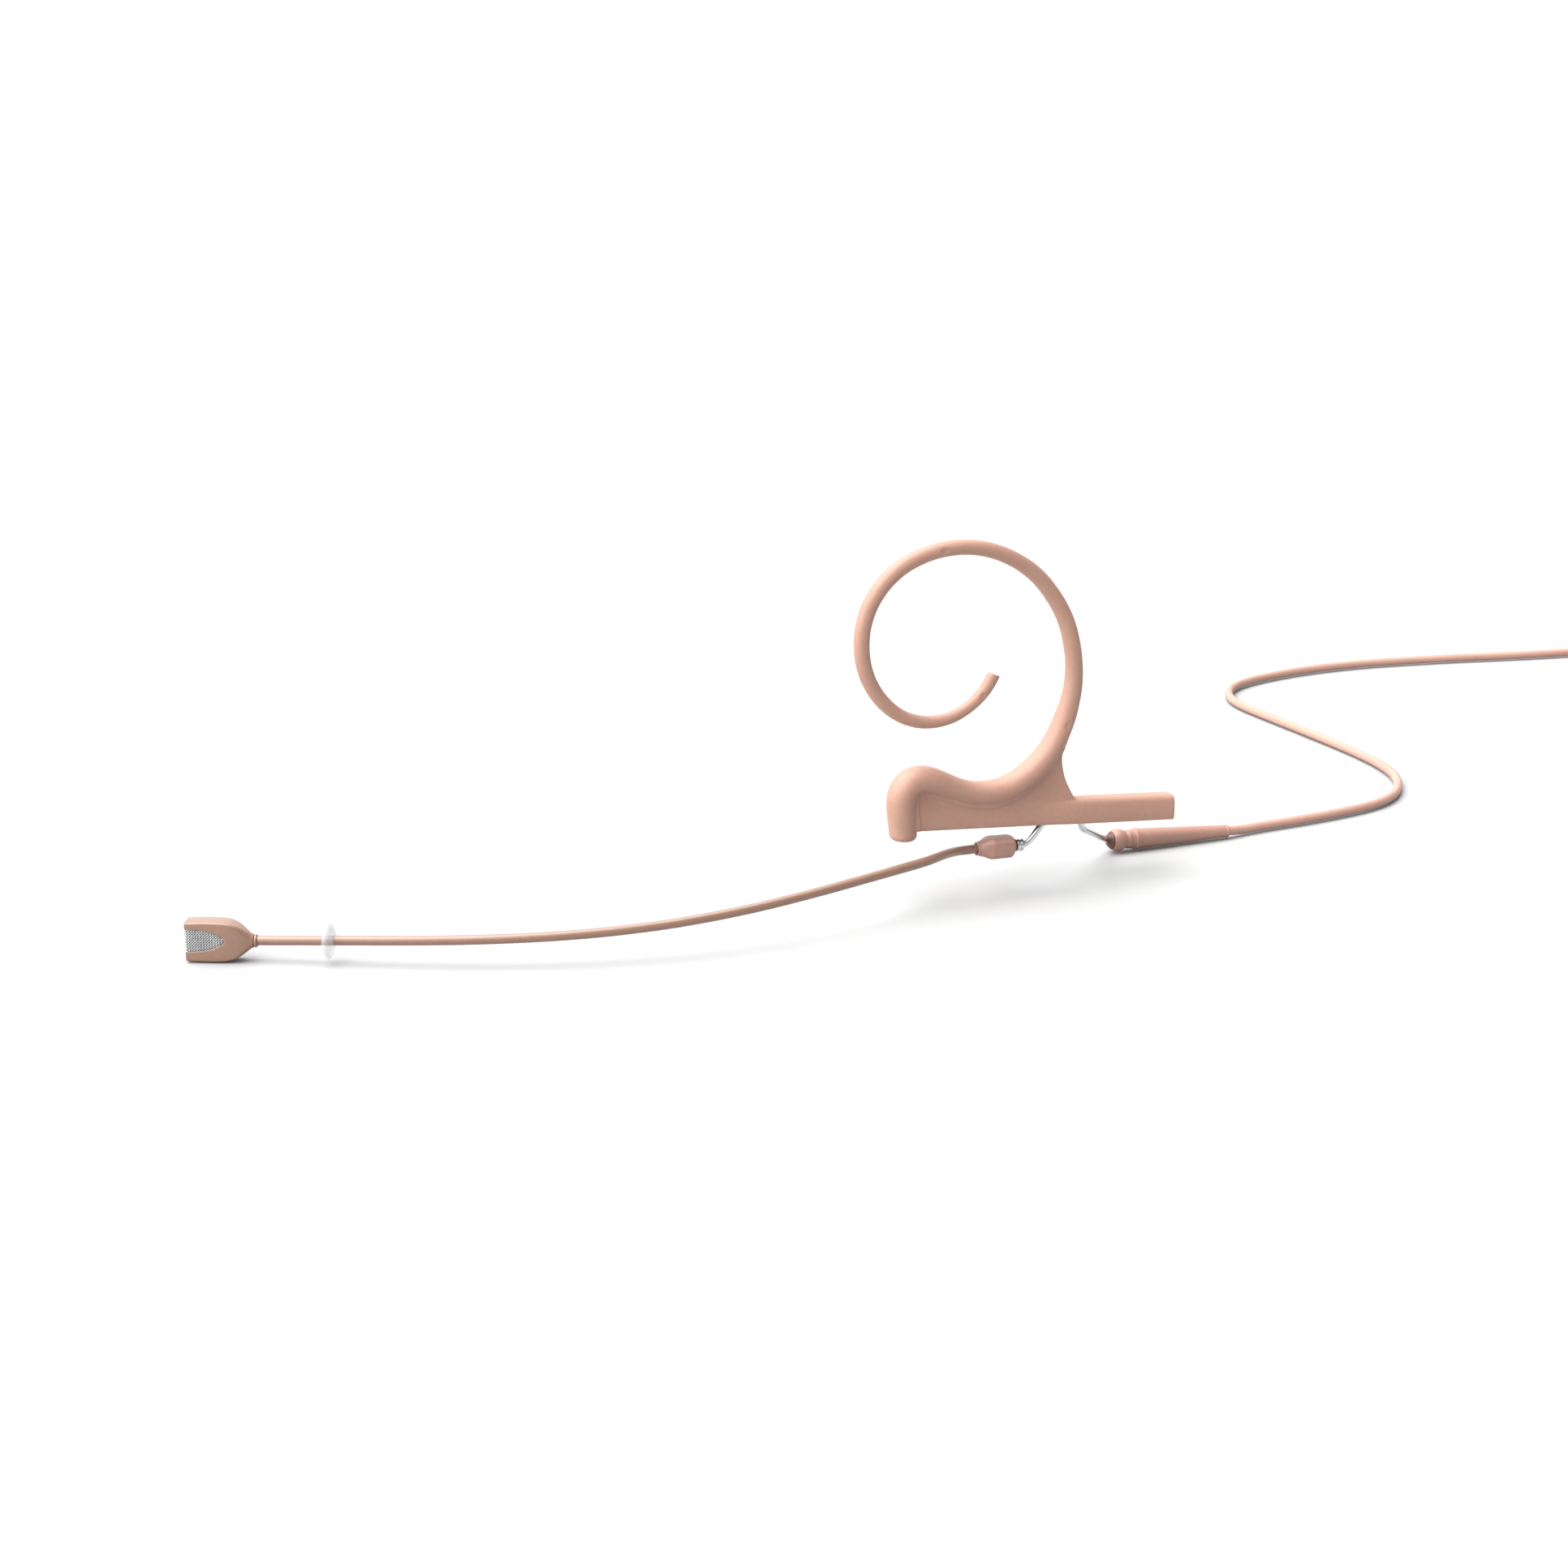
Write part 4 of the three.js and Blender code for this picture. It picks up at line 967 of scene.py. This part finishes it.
def hook_fn(Q):
    x, y, z = Q[:, 0], Q[:, 1], Q[:, 2]
    d, r = rod(x, z)
    round_ = np.sqrt(d * d + (y / stretch(x, z)) ** 2) - r
    # square-cut ends with eased edges
    foot = 9.5 - 0.03 * (x - 0.6) - z
    round_ = smax(round_, np.where((z < 14) & (x < 4), foot, -9.0), 1.1)
    tip = (x - TIP[0]) * TIP_DIR[0] + (z - TIP[1]) * TIP_DIR[1]
    near_tip = ((x - TIP[0]) ** 2 + (z - TIP[1]) ** 2) < 9
    round_ = smax(round_, np.where(near_tip, tip, -9.0), 0.3)
    # flat web under the roll, with a low step along the roll's lower side
    flat = polygon_distance(x, z, WEB)
    ay = np.abs(y)
    u = (x - BAR_MID[0]) * BAR_DIR[0] + (z - BAR_MID[1]) * BAR_DIR[1]
    v = (x - BAR_MID[0]) * BAR_NRM[0] + (z - BAR_MID[1]) * BAR_NRM[1]
    thick = np.clip(1.6 - 0.115 * (v + 1.0), 0.95, 1.6) - 0.14 * smoothstep(20.5, 26.0, x) * smoothstep(-0.3, 1.2, v)
    web = smax(flat, ay - thick, 0.16)
    lip = smax(smax(flat, d - (r + 0.16), 0.06), ay - (thick + 0.2), 0.06)
    f = smin(round_, lip, 0.16)
    f = np.minimum(f, web)
    # grip bar
    w = np.interp(x, W_X, W_Y)
    bow = np.interp(x, W_X, W_C)
    belly = smoothstep(22.0, 29.5, x)
    side = ay - (w - bow * (v + 0.9) ** 2 * np.where(v > -0.9, 1.0, 0.7))
    top = smax(v - 2.1, side, 0.15 + 0.75 * belly)
    bar = smax(top, -1.7 - v, 0.2)
    bar = smax(bar, u - (46.3 - 30.0) / BAR_DIR[0], 0.42)
    bar = smax(bar, 1.0 - x, 0.3)
    f = smin(f, bar, 0.07)
    # shallow round marks from the mould's core pins
    for at in PIN_BALLS:
        ball = np.sqrt((x - at[0]) ** 2 + (y - at[1]) ** 2 + (z - at[2]) ** 2) - PIN_R
        f = smax(f, -ball, 0.04)
    # groove along the underside, and the bore for the core wire
    gz = z - groove_z(x)
    g = np.sqrt(y * y + (gz * BAR_DIR[0]) ** 2) - 1.31
    g = smax(g, 12.0 - x, 0.15)
    g = smax(g, x - 45.2, 0.15)
    f = smax(f, -g, 0.1)
    db, rb = bore(x, z)
    f = np.maximum(f, -(np.sqrt(db * db + y * y) - rb))
    return f


HOOK_H = 0.19
hook = nets_object("ear_hook_visual", hook_fn, (-8.6, -2.75, 6.7), (47.5, 2.75, 55.4), HOOK_H)
place(hook, "silicone", "silicone", "hook", "ear_hook")

# ------------------------------------------------------------------ swivel shoe
bar3 = np.array([BAR_DIR[0], 0.0, BAR_DIR[1]])
shoe_axes = np.array([bar3, [0, 1, 0], np.cross(bar3, [0, 1, 0])])
shoe_len = (28.9 - 25.5) / BAR_DIR[0]
shoe_at = np.array([25.5, 0.0, groove_z(25.5)])


def shoe_fn(Q):
    x, y, z = Q[:, 0], Q[:, 1], Q[:, 2]
    r = np.sqrt(y * y + z * z)
    f = smax(r - 1.2, 0.62 - r, 0.08)
    f = smax(f, -smax(np.abs(y) - 0.37, z, 0.05), 0.12)
    f = smax(f, -x, 0.12)
    f = smax(f, -z - 0.72, 0.06)
    return smax(f, x - shoe_len, 0.12)


shoe = nets_object("grip_shoe_visual", shoe_fn, (-0.3, -1.4, -1.4), (3.75, 1.4, 1.4), 0.1, shoe_at, shoe_axes)
place(shoe, "moulded_beige", "moulded_beige", "swivel_shoe", "grip_shoe")

# ------------------------------------------------------------------ carrier tube
CARRIER = [
    [17.4, 0, 6.44], [18.8, 0, 6.37], [20.2, 0, 6.3], [20.9, 0, 6.36], [21.6, 0, 6.72], [22.3, 0, 7.35],
    [23.0, 0, 8.1], [23.7, 0, 8.9], [24.2, 0, 9.45], [24.7, 0, 9.86], [25.3, 0, groove_z(25.3)],
    [26.6, 0, groove_z(26.6)], [27.9, 0, groove_z(27.9)], [29.1, 0, groove_z(29.1)], [29.85, 0, 9.58],
    [30.4, 0, 9.15], [30.72, 0, 8.5], [31.0, 0.06, 7.85], [31.45, 0.45, 7.35], [32.3, 1.25, 6.85],
    [34.5, 3.25, 5.6], [37.0, 5.55, 4.12], [39.2, 7.6, 2.9], [40.4, 8.6, 2.28], [41.4, 9.1, 1.93], [42.6, 9.15, 1.83],
]
carrier = swept("carrier_tube_visual", relax(even(catmull(CARRIER, 0.1), 0.15), 4), 0.56, 28, 0.0, 0.08)
place(carrier, "bright_chrome", "bright_chrome", CABLE, "carrier_tube")

# ------------------------------------------------------------------ boom
BOOM = [
    [-93.45, 10.61, 2.98], [-89.34, 8.27, 3.14], [-85.25, 5.95, 3.31], [-81.14, 3.65, 3.45], [-77.01, 1.42, 3.58],
    [-72.86, -0.66, 3.7], [-68.67, -2.61, 3.82], [-64.43, -4.41, 3.96], [-60.14, -6.05, 4.11], [-55.77, -7.51, 4.29],
    [-51.33, -8.77, 4.49], [-46.81, -9.84, 4.75], [-42.17, -10.67, 5.03], [-37.42, -11.25, 5.38],
    [-32.48, -11.55, 5.76], [-27.44, -11.6, 6.19], [-22.23, -11.38, 6.66], [-16.87, -10.89, 7.13],
    [-11.3, -10.09, 7.57], [-6.96, -9.25, 7.84], [-3.21, -8.28, 7.97], [-0.03, -7.2, 7.99], [1.91, -6.2, 7.92],
    [3.75, -4.95, 7.78], [5.69, -3.4, 7.52], [7.4, -2.05, 7.22], [9.1, -0.98, 6.95], [10.8, -0.38, 6.74],
    [12.1, -0.12, 6.64], [13.2, -0.06, 6.593],
]
B = np.array(BOOM)
head_end = B[0] + unit(B[0] - B[1]) * 3.9
boom_line = even(catmull([list(head_end)] + BOOM + [[15.4, -0.06, 6.515]], 0.2), 0.45)
boom = swept("boom_tube_visual", boom_line, 0.715, 28, 0.44)
place(boom, "boom_enamel", "boom_enamel", CABLE, "boom_tube")

# coupling: a faceted barrel
COUP_AT = np.array([12.7, -0.06, 6.61])
COUP_DIR = unit([1, 0, -0.035])
COUP_AXES = np.array([COUP_DIR, [0, 1, 0], np.cross(COUP_DIR, [0, 1, 0])])


def coupling_fn(Q):
    x, y, z = Q[:, 0], Q[:, 1], Q[:, 2]
    r = np.sqrt(y * y + z * z)
    size = np.interp(x, [-1, 0.3, 2.3, 2.45, 5.6, 9], [1.06, 1.1, 1.6, 1.62, 1.58, 1.5])
    face = np.abs(z) - size, np.abs(y) - size
    flats = smax(face[0], face[1], 0.05)
    chamfer = (np.abs(y) + np.abs(z)) / math.sqrt(2) - size * 1.16
    barrel = smax(flats, chamfer, 0.06)
    # round where the cone starts, and a turned-down far end
    t = smoothstep(0.4, 1.9, x)
    barrel = barrel * t + (r - size) * (1 - t)
    barrel = smax(barrel, 0.45 - x, 0.08)
    end = (x - 6.42) + np.maximum(r - 1.05, 0) * 0.85
    barrel = smax(barrel, end, 0.12)
    barrel = smax(barrel, x - 6.65, 0.1)
    ring = smax(smax(r - 1.08, -x, 0.1), x - 0.42, 0.06)
    neck = smax(smax(r - 0.97, -x, 0.05), x - 0.8, 0.05)
    f = np.minimum(np.minimum(barrel, ring), neck)
    bore_ = np.where(x < 3.2, r - 0.82, r - 0.72)
    return smax(f, -bore_, 0.06)


coup = nets_object("boom_coupling_visual", coupling_fn, (-0.3, -2.0, -2.0), (7.0, 2.0, 2.0), 0.085, COUP_AT, COUP_AXES)
place(coup, "moulded_beige", "moulded_beige", CABLE, "boom_coupling")
ferrule = turned("boom_ferrule_visual", fillet([
    [6.72, 0.62], [6.72, 0.98, 0.06], [7.15, 1.0, 0.04], [7.19, 0.88, 0.02], [7.33, 0.88, 0.02], [7.37, 1.02, 0.04],
    [7.75, 1.02, 0.12], [7.95, 0.84, 0.06], [7.95, 0.62, 0.03], [6.72, 0.62],
], 0.04, 4, True), COUP_AT, COUP_DIR, 48, COUP_AXES)
place(ferrule, "bright_chrome", "bright_chrome", CABLE, "boom_ferrule")

# ------------------------------------------------------------------ drip ring: a clear lens-shaped disc
drip_dir = unit(B[2] - B[1])
drip_at = B[1] + drip_dir * 3.0
arc = [[-0.8, 0.76], [-0.8, 1.0]] + [[-0.78 * math.cos(q), 0.95 + 1.63 * math.sin(q)] for q in np.linspace(0.12, math.pi - 0.12, 30)] + [[0.8, 1.0], [0.8, 0.76], [-0.8, 0.76]]
drip = turned("drip_ring_visual", fillet(arc, 0.04, 3, True), drip_at, drip_dir, 56)
place(drip, "clear_ring", "clear_ring", "drip_guard", "drip_ring")

# ------------------------------------------------------------------ microphone head
HEAD_AT = np.array([-96.2, 12.1, 2.85])
ht = math.radians(153.4)
HEAD_AXES = np.array([[math.cos(ht), math.sin(ht), 0], [-math.sin(ht), math.cos(ht), 0], [0, 0, 1.0]])
HX = [-0.5, 0.0, 0.5, 1.2, 2.1, 3.2, 4.4, 6.0, 8.0, 9.2, 10.2]
HZ = [0.86, 0.9, 1.14, 1.66, 2.31, 2.74, 2.91, 2.96, 2.93, 2.88, 2.83]
HY = [0.84, 0.88, 1.05, 1.27, 1.47, 1.58, 1.62, 1.62, 1.62, 1.61, 1.6]
hx_f = np.linspace(-0.5, 10.4, 110)


def soft_interp(xs, ys, s=0.35):
    base = np.interp(hx_f, xs, ys)
    out = np.zeros_like(base)
    w = np.exp(-((hx_f[:, None] - hx_f[None, :]) / s) ** 2)
    out = (w @ base) / w.sum(1)
    return out


HZF, HYF = soft_interp(HX, HZ), soft_interp(HX, HY)
WIN = [[11.6, -1.36], [8.8, -1.34], [7.2, -1.2], [6.0, -0.94], [4.95, -0.51], [4.2, -0.02], [3.92, 0.33], [4.2, 0.68],
       [4.95, 1.17], [6.0, 1.6], [7.2, 1.86], [8.8, 2.0], [11.6, 2.02]]
WINDOW = [list(p) for p in even(catmull(WIN, 0.2), 0.35)]


def head_fn(Q):
    x, y, z = Q[:, 0], Q[:, 1], Q[:, 2]
    hz = np.interp(x, hx_f, HZF)
    hy = np.interp(x, hx_f, HYF)
    t = smoothstep(0.3, 3.4, x)
    rc = 0.88 * (1 - t) + 0.24 * t
    rise = 0.1 * smoothstep(0.5, 4.0, x)
    ay, az = np.abs(y), np.abs(z - rise)
    # flat top and bottom, sides falling away slightly towards the edges
    qy, qz = ay - (hy - rc) + 0.05 * (az / 2.8) ** 2, az - (hz - rc) + 0.06 * (ay / 1.8) ** 2
    f = np.sqrt(np.maximum(qy, 0) ** 2 + np.maximum(qz, 0) ** 2) + np.minimum(np.maximum(qy, qz), 0) - rc
    f = smax(f, x - 9.7 - 0.017 * z, 0.08)
    f = smax(f, -x, 0.1)
    chamber = np.maximum(np.maximum(np.abs(y) - 1.38, np.abs(z) - 2.35), np.maximum(3.4 - x, x - 11.0))
    wiring = np.maximum(np.maximum(ay - 0.85, az - 1.05), np.maximum(1.7 - x, x - 3.5))
    r = np.sqrt(y * y + z * z)
    hole = np.maximum(r - 0.42, np.maximum(1.0 - x, x - 1.8))
    socket = np.maximum(r - 0.76, np.maximum(-0.5 - x, x - 1.25))
    window = polygon_distance(x, z, WINDOW)
    cut = np.minimum(np.minimum(np.minimum(chamber, wiring), np.minimum(hole, socket)), window)
    return smax(f, -cut, 0.07)


shell = nets_object("mic_housing_visual", head_fn, (-0.2, -1.9, -3.1), (10.45, 1.9, 3.35), 0.085, HEAD_AT, HEAD_AXES, 2)
place(shell, "mic_shell", "moulded_beige", CABLE, "mic_housing")
collar = turned("neck_collar_visual", fillet([
    [-0.46, 0.74], [-0.46, 0.84, 0.08], [-0.34, 0.95, 0.1], [-0.14, 0.95, 0.1], [-0.03, 0.84, 0.06], [-0.03, 0.74], [-0.46, 0.74],
], 0.05, 4, True), HEAD_AT, HEAD_AXES[0], 40, HEAD_AXES)
place(collar, "mic_shell", "moulded_beige", CABLE, "neck_collar")

# woven wire grille, folded round the front from one side window to the other
fold = catmull([[3.55, -1.24], [6.0, -1.24], [8.0, -1.24], [9.2, -1.24], [9.62, -1.12], [9.86, -0.76], [9.94, -0.25], [9.94, 0.25],
                [9.86, 0.76], [9.62, 1.12], [9.2, 1.24], [8.0, 1.24], [6.0, 1.24], [3.55, 1.24]], 0.1)
fold = even(fold, 0.1)
fold_len = np.concatenate([[0], np.cumsum(np.linalg.norm(np.diff(fold, axis=0), axis=1))])
ft = np.gradient(fold, axis=0)
ft /= np.linalg.norm(ft, axis=1)[:, None]
fold_n = np.stack([ft[:, 1], -ft[:, 0]], 1)
PITCH, WIRE, AMP = 0.28, 0.066, 0.05
TOTAL = fold_len[-1]
HALF_Z = 2.2


def on_fold(s, z, off):
    p = np.stack([np.interp(s, fold_len, fold[:, c]) for c in range(2)], 1)
    n = np.stack([np.interp(s, fold_len, fold_n[:, c]) for c in range(2)], 1)
    n /= np.linalg.norm(n, axis=1)[:, None]
    q = p + n * off[:, None]
    q[:, 0] += 0.017 * z * smoothstep(8.4, 9.6, q[:, 0])
    return np.stack([q[:, 0], q[:, 1], z], 1)


mesh_verts, mesh_faces = [], []
count = 0
SIDES = 5
root2 = math.sqrt(2.0)
for sign in (1, -1):
    c = -HALF_Z
    span = PITCH * root2
    k = 0
    c0 = -2 * HALF_Z if sign > 0 else 0.0
    while c0 < (TOTAL if sign > 0 else TOTAL + 2 * HALF_Z):
        # line s - sign * (z + HALF_Z) = c0
        z = np.arange(-HALF_Z, HALF_Z + 1e-6, PITCH / root2 / 3.0)
        s = c0 + sign * (z + HALF_Z)
        ok = (s > 0.02) & (s < TOTAL - 0.02)
        if ok.sum() > 4:
            s, zz = s[ok], z[ok]
            # distance along the wire in units of the crossing pitch sets over and under
            other = (s + sign * (zz + HALF_Z)) / span
            off = AMP * np.sin(math.pi * other + (math.pi * (k % 2))) * (1 if sign > 0 else -1)
            L = on_fold(s, zz, off)
            T, N, Bn = frames(L)
            a = np.linspace(0, 2 * math.pi, SIDES, endpoint=False)
            rings = [L[i] + np.outer(np.cos(a) * WIRE, N[i]) + np.outer(np.sin(a) * WIRE, Bn[i]) for i in range(len(L))]
            mesh_verts.append(np.vstack(rings))
            mesh_faces += grid_faces(len(L), SIDES, True, False, count)
            mesh_faces.append(tuple(count + j for j in range(SIDES))[::-1])
            mesh_faces.append(tuple(count + (len(L) - 1) * SIDES + j for j in range(SIDES)))
            count += len(L) * SIDES
        c0 += span
        k += 1
grille = mesh_object("mic_grille_visual", row(local(np.vstack(mesh_verts), HEAD_AT, HEAD_AXES)), mesh_faces)
place(grille, "steel_mesh", "steel_mesh", CABLE, "mic_grille")

# thin dark acoustic cloth just inside the wires
cloth_line = catmull([[3.6, -1.1], [6.0, -1.1], [8.0, -1.1], [9.1, -1.1], [9.5, -1.0], [9.7, -0.7], [9.77, -0.25], [9.77, 0.25],
                      [9.7, 0.7], [9.5, 1.0], [9.1, 1.1], [8.0, 1.1], [6.0, 1.1], [3.6, 1.1]], 0.15)
cl_t = np.gradient(cloth_line, axis=0)
cl_t /= np.linalg.norm(cl_t, axis=1)[:, None]
cl_n = np.stack([cl_t[:, 1], -cl_t[:, 0]], 1)
cv, cols = [], 40
for off in (0.02, -0.02):
    for j in range(cols + 1):
        z = -2.1 + 4.2 * j / cols
        ripple = 0.008 * np.sin(np.arange(len(cloth_line)) * 1.7 + j * 1.3)
        q = cloth_line + cl_n * (off + ripple)[:, None]
        q[:, 0] += 0.017 * z * smoothstep(8.4, 9.6, q[:, 0])
        cv.append(np.stack([q[:, 0], q[:, 1], np.full(len(q), z)], 1))
nl = len(cloth_line)
cf = grid_faces(cols + 1, nl, False) + grid_faces(cols + 1, nl, False, start=(cols + 1) * nl)
back0 = (cols + 1) * nl
for i in range(nl - 1):
    for j in (0, cols):
        cf.append((j * nl + i, j * nl + i + 1, back0 + j * nl + i + 1, back0 + j * nl + i))
for j in range(cols):
    for i in (0, nl - 1):
        cf.append((j * nl + i, (j + 1) * nl + i, back0 + (j + 1) * nl + i, back0 + j * nl + i))
cloth = mesh_object("acoustic_cloth", row(local(np.vstack(cv), HEAD_AT, HEAD_AXES)), cf)
place(cloth, "tie_fabric", "tie_fabric", CABLE)

# capsule: cup, diaphragm ring and membrane, facing the near window
cap_at = local([[6.6, 0, 0.1]], HEAD_AT, HEAD_AXES)[0]
cap_axes = np.array([-HEAD_AXES[1], HEAD_AXES[0], HEAD_AXES[2]])
can = turned("capsule_can_visual", fillet([
    [-0.85, 0], [-0.85, 1.95, 0.15], [0.85, 1.95, 0.06], [0.85, 1.7, 0.06], [-0.55, 1.7, 0.03], [-0.55, 0],
], 0.05, 4), cap_at, None, 56, cap_axes)
place(can, "nickel", "nickel", CABLE, "capsule_can")
diaphragm = turned("capsule_diaphragm_visual", fillet([
    [0.2, 0], [0.2, 1.6, 0.03], [0.7, 1.6, 0.05], [0.7, 1.3, 0.05], [0.38, 1.3, 0.03], [0.33, 1.1, 0.06], [0.39, 0.9, 0.06],
    [0.33, 0.7, 0.06], [0.36, 0.5, 0.06], [0.35, 0],
], 0.04, 4), cap_at, None, 56, cap_axes)
place(diaphragm, "gold_contact", "gold_contact", CABLE, "capsule_diaphragm")


def block(verts, faces, lo, hi, bevel=0.04):
    """A small box with eased edges, as a bmesh piece added to a list."""
    bm = bmesh.new()
    bmesh.ops.create_cube(bm, size=1.0)
    lo, hi = np.asarray(lo, float), np.asarray(hi, float)
    for v in bm.verts:
        v.co = Vector((lo + hi) / 2 + (np.array(v.co)) * (hi - lo))
    bmesh.ops.bevel(bm, geom=list(bm.edges), offset=bevel, segments=2, affect="EDGES", profile=0.6)
    base = len(verts)
    bm.verts.index_update()
    verts += [list(v.co) for v in bm.verts]
    faces += [tuple(base + v.index for v in f.verts) for f in bm.faces]
    bm.free()


bv, bf = [], []
block(bv, bf, (2.35, -0.22, -0.85), (4.4, 0.02, 0.85), 0.03)
board_ob = mesh_object("preamp_board_visual", row(local(bv, HEAD_AT, HEAD_AXES)), bf, smooth=False)
place(board_ob, "circuit_board", "circuit_board", CABLE, "preamp_board")
bv, bf = [], []
block(bv, bf, (2.75, 0.03, -0.42), (3.55, 0.25, 0.38), 0.03)
block(bv, bf, (3.75, 0.03, -0.55), (4.0, 0.2, -0.2), 0.03)
block(bv, bf, (3.75, 0.03, 0.15), (4.0, 0.2, 0.5), 0.03)
chips = mesh_object("preamp_parts", row(local(bv, HEAD_AT, HEAD_AXES)), bf, smooth=False)
place(chips, "chip", "circuit_board", CABLE)

# ------------------------------------------------------------------ strain relief
nose = turned("relief_nose_visual", fillet([
    [0.45, 1.1, 0.03], [0.45, 1.48, 0.05], [0.75, 1.64, 0.2], [1.2, 1.76, 0.4], [1.7, 1.78, 0.4], [2.2, 1.64, 0.25], [2.5, 1.46, 0.15],
    [2.8, 1.4, 0.15], [3.1, 1.48, 0.1], [3.5, 1.52, 0.06], [3.5, 0.78], [1.1, 0.78], [0.45, 1.1, 0.03],
], 0.06, 5, True), RELIEF_FROM, relief_dir, 56)
place(nose, "moulded_beige", "moulded_beige", CABLE, "relief_nose")
# dark cone in the relief's mouth; its dark colour is painted shade for the shadowed hollow there
mouth_shade = turned("relief_mouth_painted_shade", fillet([
    [-0.35, 0.58], [-0.35, 0.74, 0.05], [-0.1, 1.02, 0.2], [0.35, 1.42, 0.05], [0.41, 1.36, 0.03], [0.42, 1.04, 0.02], [1.0, 0.76], [1.0, 0.58], [-0.35, 0.58],
], 0.04, 4, True), RELIEF_FROM, relief_dir, 48)
place(mouth_shade, "mouth_shade", "moulded_beige", CABLE)
RL = float(np.linalg.norm(RELIEF_TO - RELIEF_FROM))
sleeve_profile = fillet([
    [3.54, 0.8], [3.54, 1.5, 0.03], [4.2, 1.5, 0.06], [4.28, 1.62, 0.03], [4.38, 1.69, 0.04], [4.85, 1.69, 0.06], [5.0, 1.6, 0.06],
    [6.4, 1.56, 0.5], [12, 1.36, 2.0], [RL - 0.75, 1.0, 0.3], [RL - 0.45, 1.0, 0.05], [RL - 0.38, 1.06, 0.04], [RL - 0.12, 1.04, 0.05],
    [RL, 0.92, 0.05], [RL, 0.8], [3.54, 0.8],
], 0.06, 5, True)
relief = turned("cable_relief_visual", sleeve_profile, RELIEF_FROM, relief_dir, 56)
place(relief, "moulded_beige", "moulded_beige", CABLE, "cable_relief")

# ------------------------------------------------------------------ CAD nodes that stay, with their own finish
for node, key in (
    ("hook_core_wire", "spring_steel"), ("boom_lead", "lead_wire"), ("crimp_sleeve", "nickel"), ("capsule_backplate", "nickel"),
):
    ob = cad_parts[node]
    ob.data.materials.clear()
    ob.data.materials.append(M[key])

# ------------------------------------------------------------------ floor
fm, fnt, fb, fco = new_material("studio_floor")
fn_ = noise(fnt, fco, 40.0, 2.0)
fnt.links.new(ramp(fnt, fn_, [(0.3, (0.345, 0.345, 0.345, 1)), (0.7, (0.353, 0.353, 0.353, 1))]), fb.inputs["Base Color"])
fb.inputs["Roughness"].default_value = 0.6
fb.inputs["Specular IOR Level"].default_value = 0.1
floor = mesh_object("floor", [(-9, -9, -0.0002), (9, -9, -0.0002), (9, 9, -0.0002), (-9, 9, -0.0002)], [(0, 1, 2, 3)], smooth=False)
floor.data.materials.append(fm)

# ------------------------------------------------------------------ light: a broad soft key from the upper left, a pale wall behind
world = bpy.data.worlds.new("studio")
scene.world = world
world.use_nodes = True
wt = world.node_tree
wt.nodes.clear()
wout = wt.nodes.new("ShaderNodeOutputWorld")
wco = wt.nodes.new("ShaderNodeTexCoord")
dot = wt.nodes.new("ShaderNodeVectorMath")
dot.operation = "DOT_PRODUCT"
axis = unit([-0.74, -0.04, 0.62])
dot.inputs[1].default_value = tuple(axis)
wt.links.new(wco.outputs["Generated"], dot.inputs[0])
mr = wt.nodes.new("ShaderNodeMapRange")
mr.interpolation_type = "SMOOTHERSTEP"
mr.inputs["From Min"].default_value = 0.5
mr.inputs["From Max"].default_value = 0.95
mr.inputs["To Min"].default_value = 0.4
mr.inputs["To Max"].default_value = 4.7
wt.links.new(dot.outputs["Value"], mr.inputs["Value"])
wall = wt.nodes.new("ShaderNodeVectorMath")
wall.operation = "DOT_PRODUCT"
wall.inputs[1].default_value = tuple(unit([0.2, 1.0, 0.2]))
wt.links.new(wco.outputs["Generated"], wall.inputs[0])
wr = wt.nodes.new("ShaderNodeMapRange")
wr.interpolation_type = "SMOOTHERSTEP"
wr.inputs["From Min"].default_value = 0.6
wr.inputs["From Max"].default_value = 0.95
wr.inputs["To Min"].default_value = 0.0
wr.inputs["To Max"].default_value = 1.0
wt.links.new(wall.outputs["Value"], wr.inputs["Value"])
over = wt.nodes.new("ShaderNodeVectorMath")
over.operation = "DOT_PRODUCT"
over.inputs[1].default_value = tuple(unit([-0.1, 0.2, 1.0]))
wt.links.new(wco.outputs["Generated"], over.inputs[0])
orr = wt.nodes.new("ShaderNodeMapRange")
orr.interpolation_type = "SMOOTHERSTEP"
orr.inputs["From Min"].default_value = 0.75
orr.inputs["From Max"].default_value = 0.97
orr.inputs["To Min"].default_value = 0.0
orr.inputs["To Max"].default_value = 5.5
wt.links.new(over.outputs["Value"], orr.inputs["Value"])
bg = wt.nodes.new("ShaderNodeBackground")
bg.inputs["Color"].default_value = (1, 1, 1, 1)
wt.links.new(maths(wt, "ADD", maths(wt, "ADD", mr.outputs[0], wr.outputs[0]), orr.outputs[0]), bg.inputs["Strength"])
seen = wt.nodes.new("ShaderNodeBackground")
seen.inputs["Color"].default_value = (1, 1, 1, 1)
seen.inputs["Strength"].default_value = 1.05
lp = wt.nodes.new("ShaderNodeLightPath")
mixs = wt.nodes.new("ShaderNodeMixShader")
wt.links.new(lp.outputs["Is Camera Ray"], mixs.inputs[0])
wt.links.new(bg.outputs[0], mixs.inputs[1])
wt.links.new(seen.outputs[0], mixs.inputs[2])
wt.links.new(mixs.outputs[0], wout.inputs[0])


def area(name, at, target, size, power):
    d = bpy.data.lights.new(name, "AREA")
    d.shape = "RECTANGLE"
    d.size, d.size_y = size
    d.energy = power
    o = bpy.data.objects.new(name, d)
    scene.collection.objects.link(o)
    o.location = at
    o.rotation_euler = (Vector(target) - Vector(at)).to_track_quat("-Z", "Y").to_euler()
    return o


area("left_box", (-0.75, -0.35, 0.75), (0.0, 0.0, 0.02), (0.5, 0.5), 1.3)
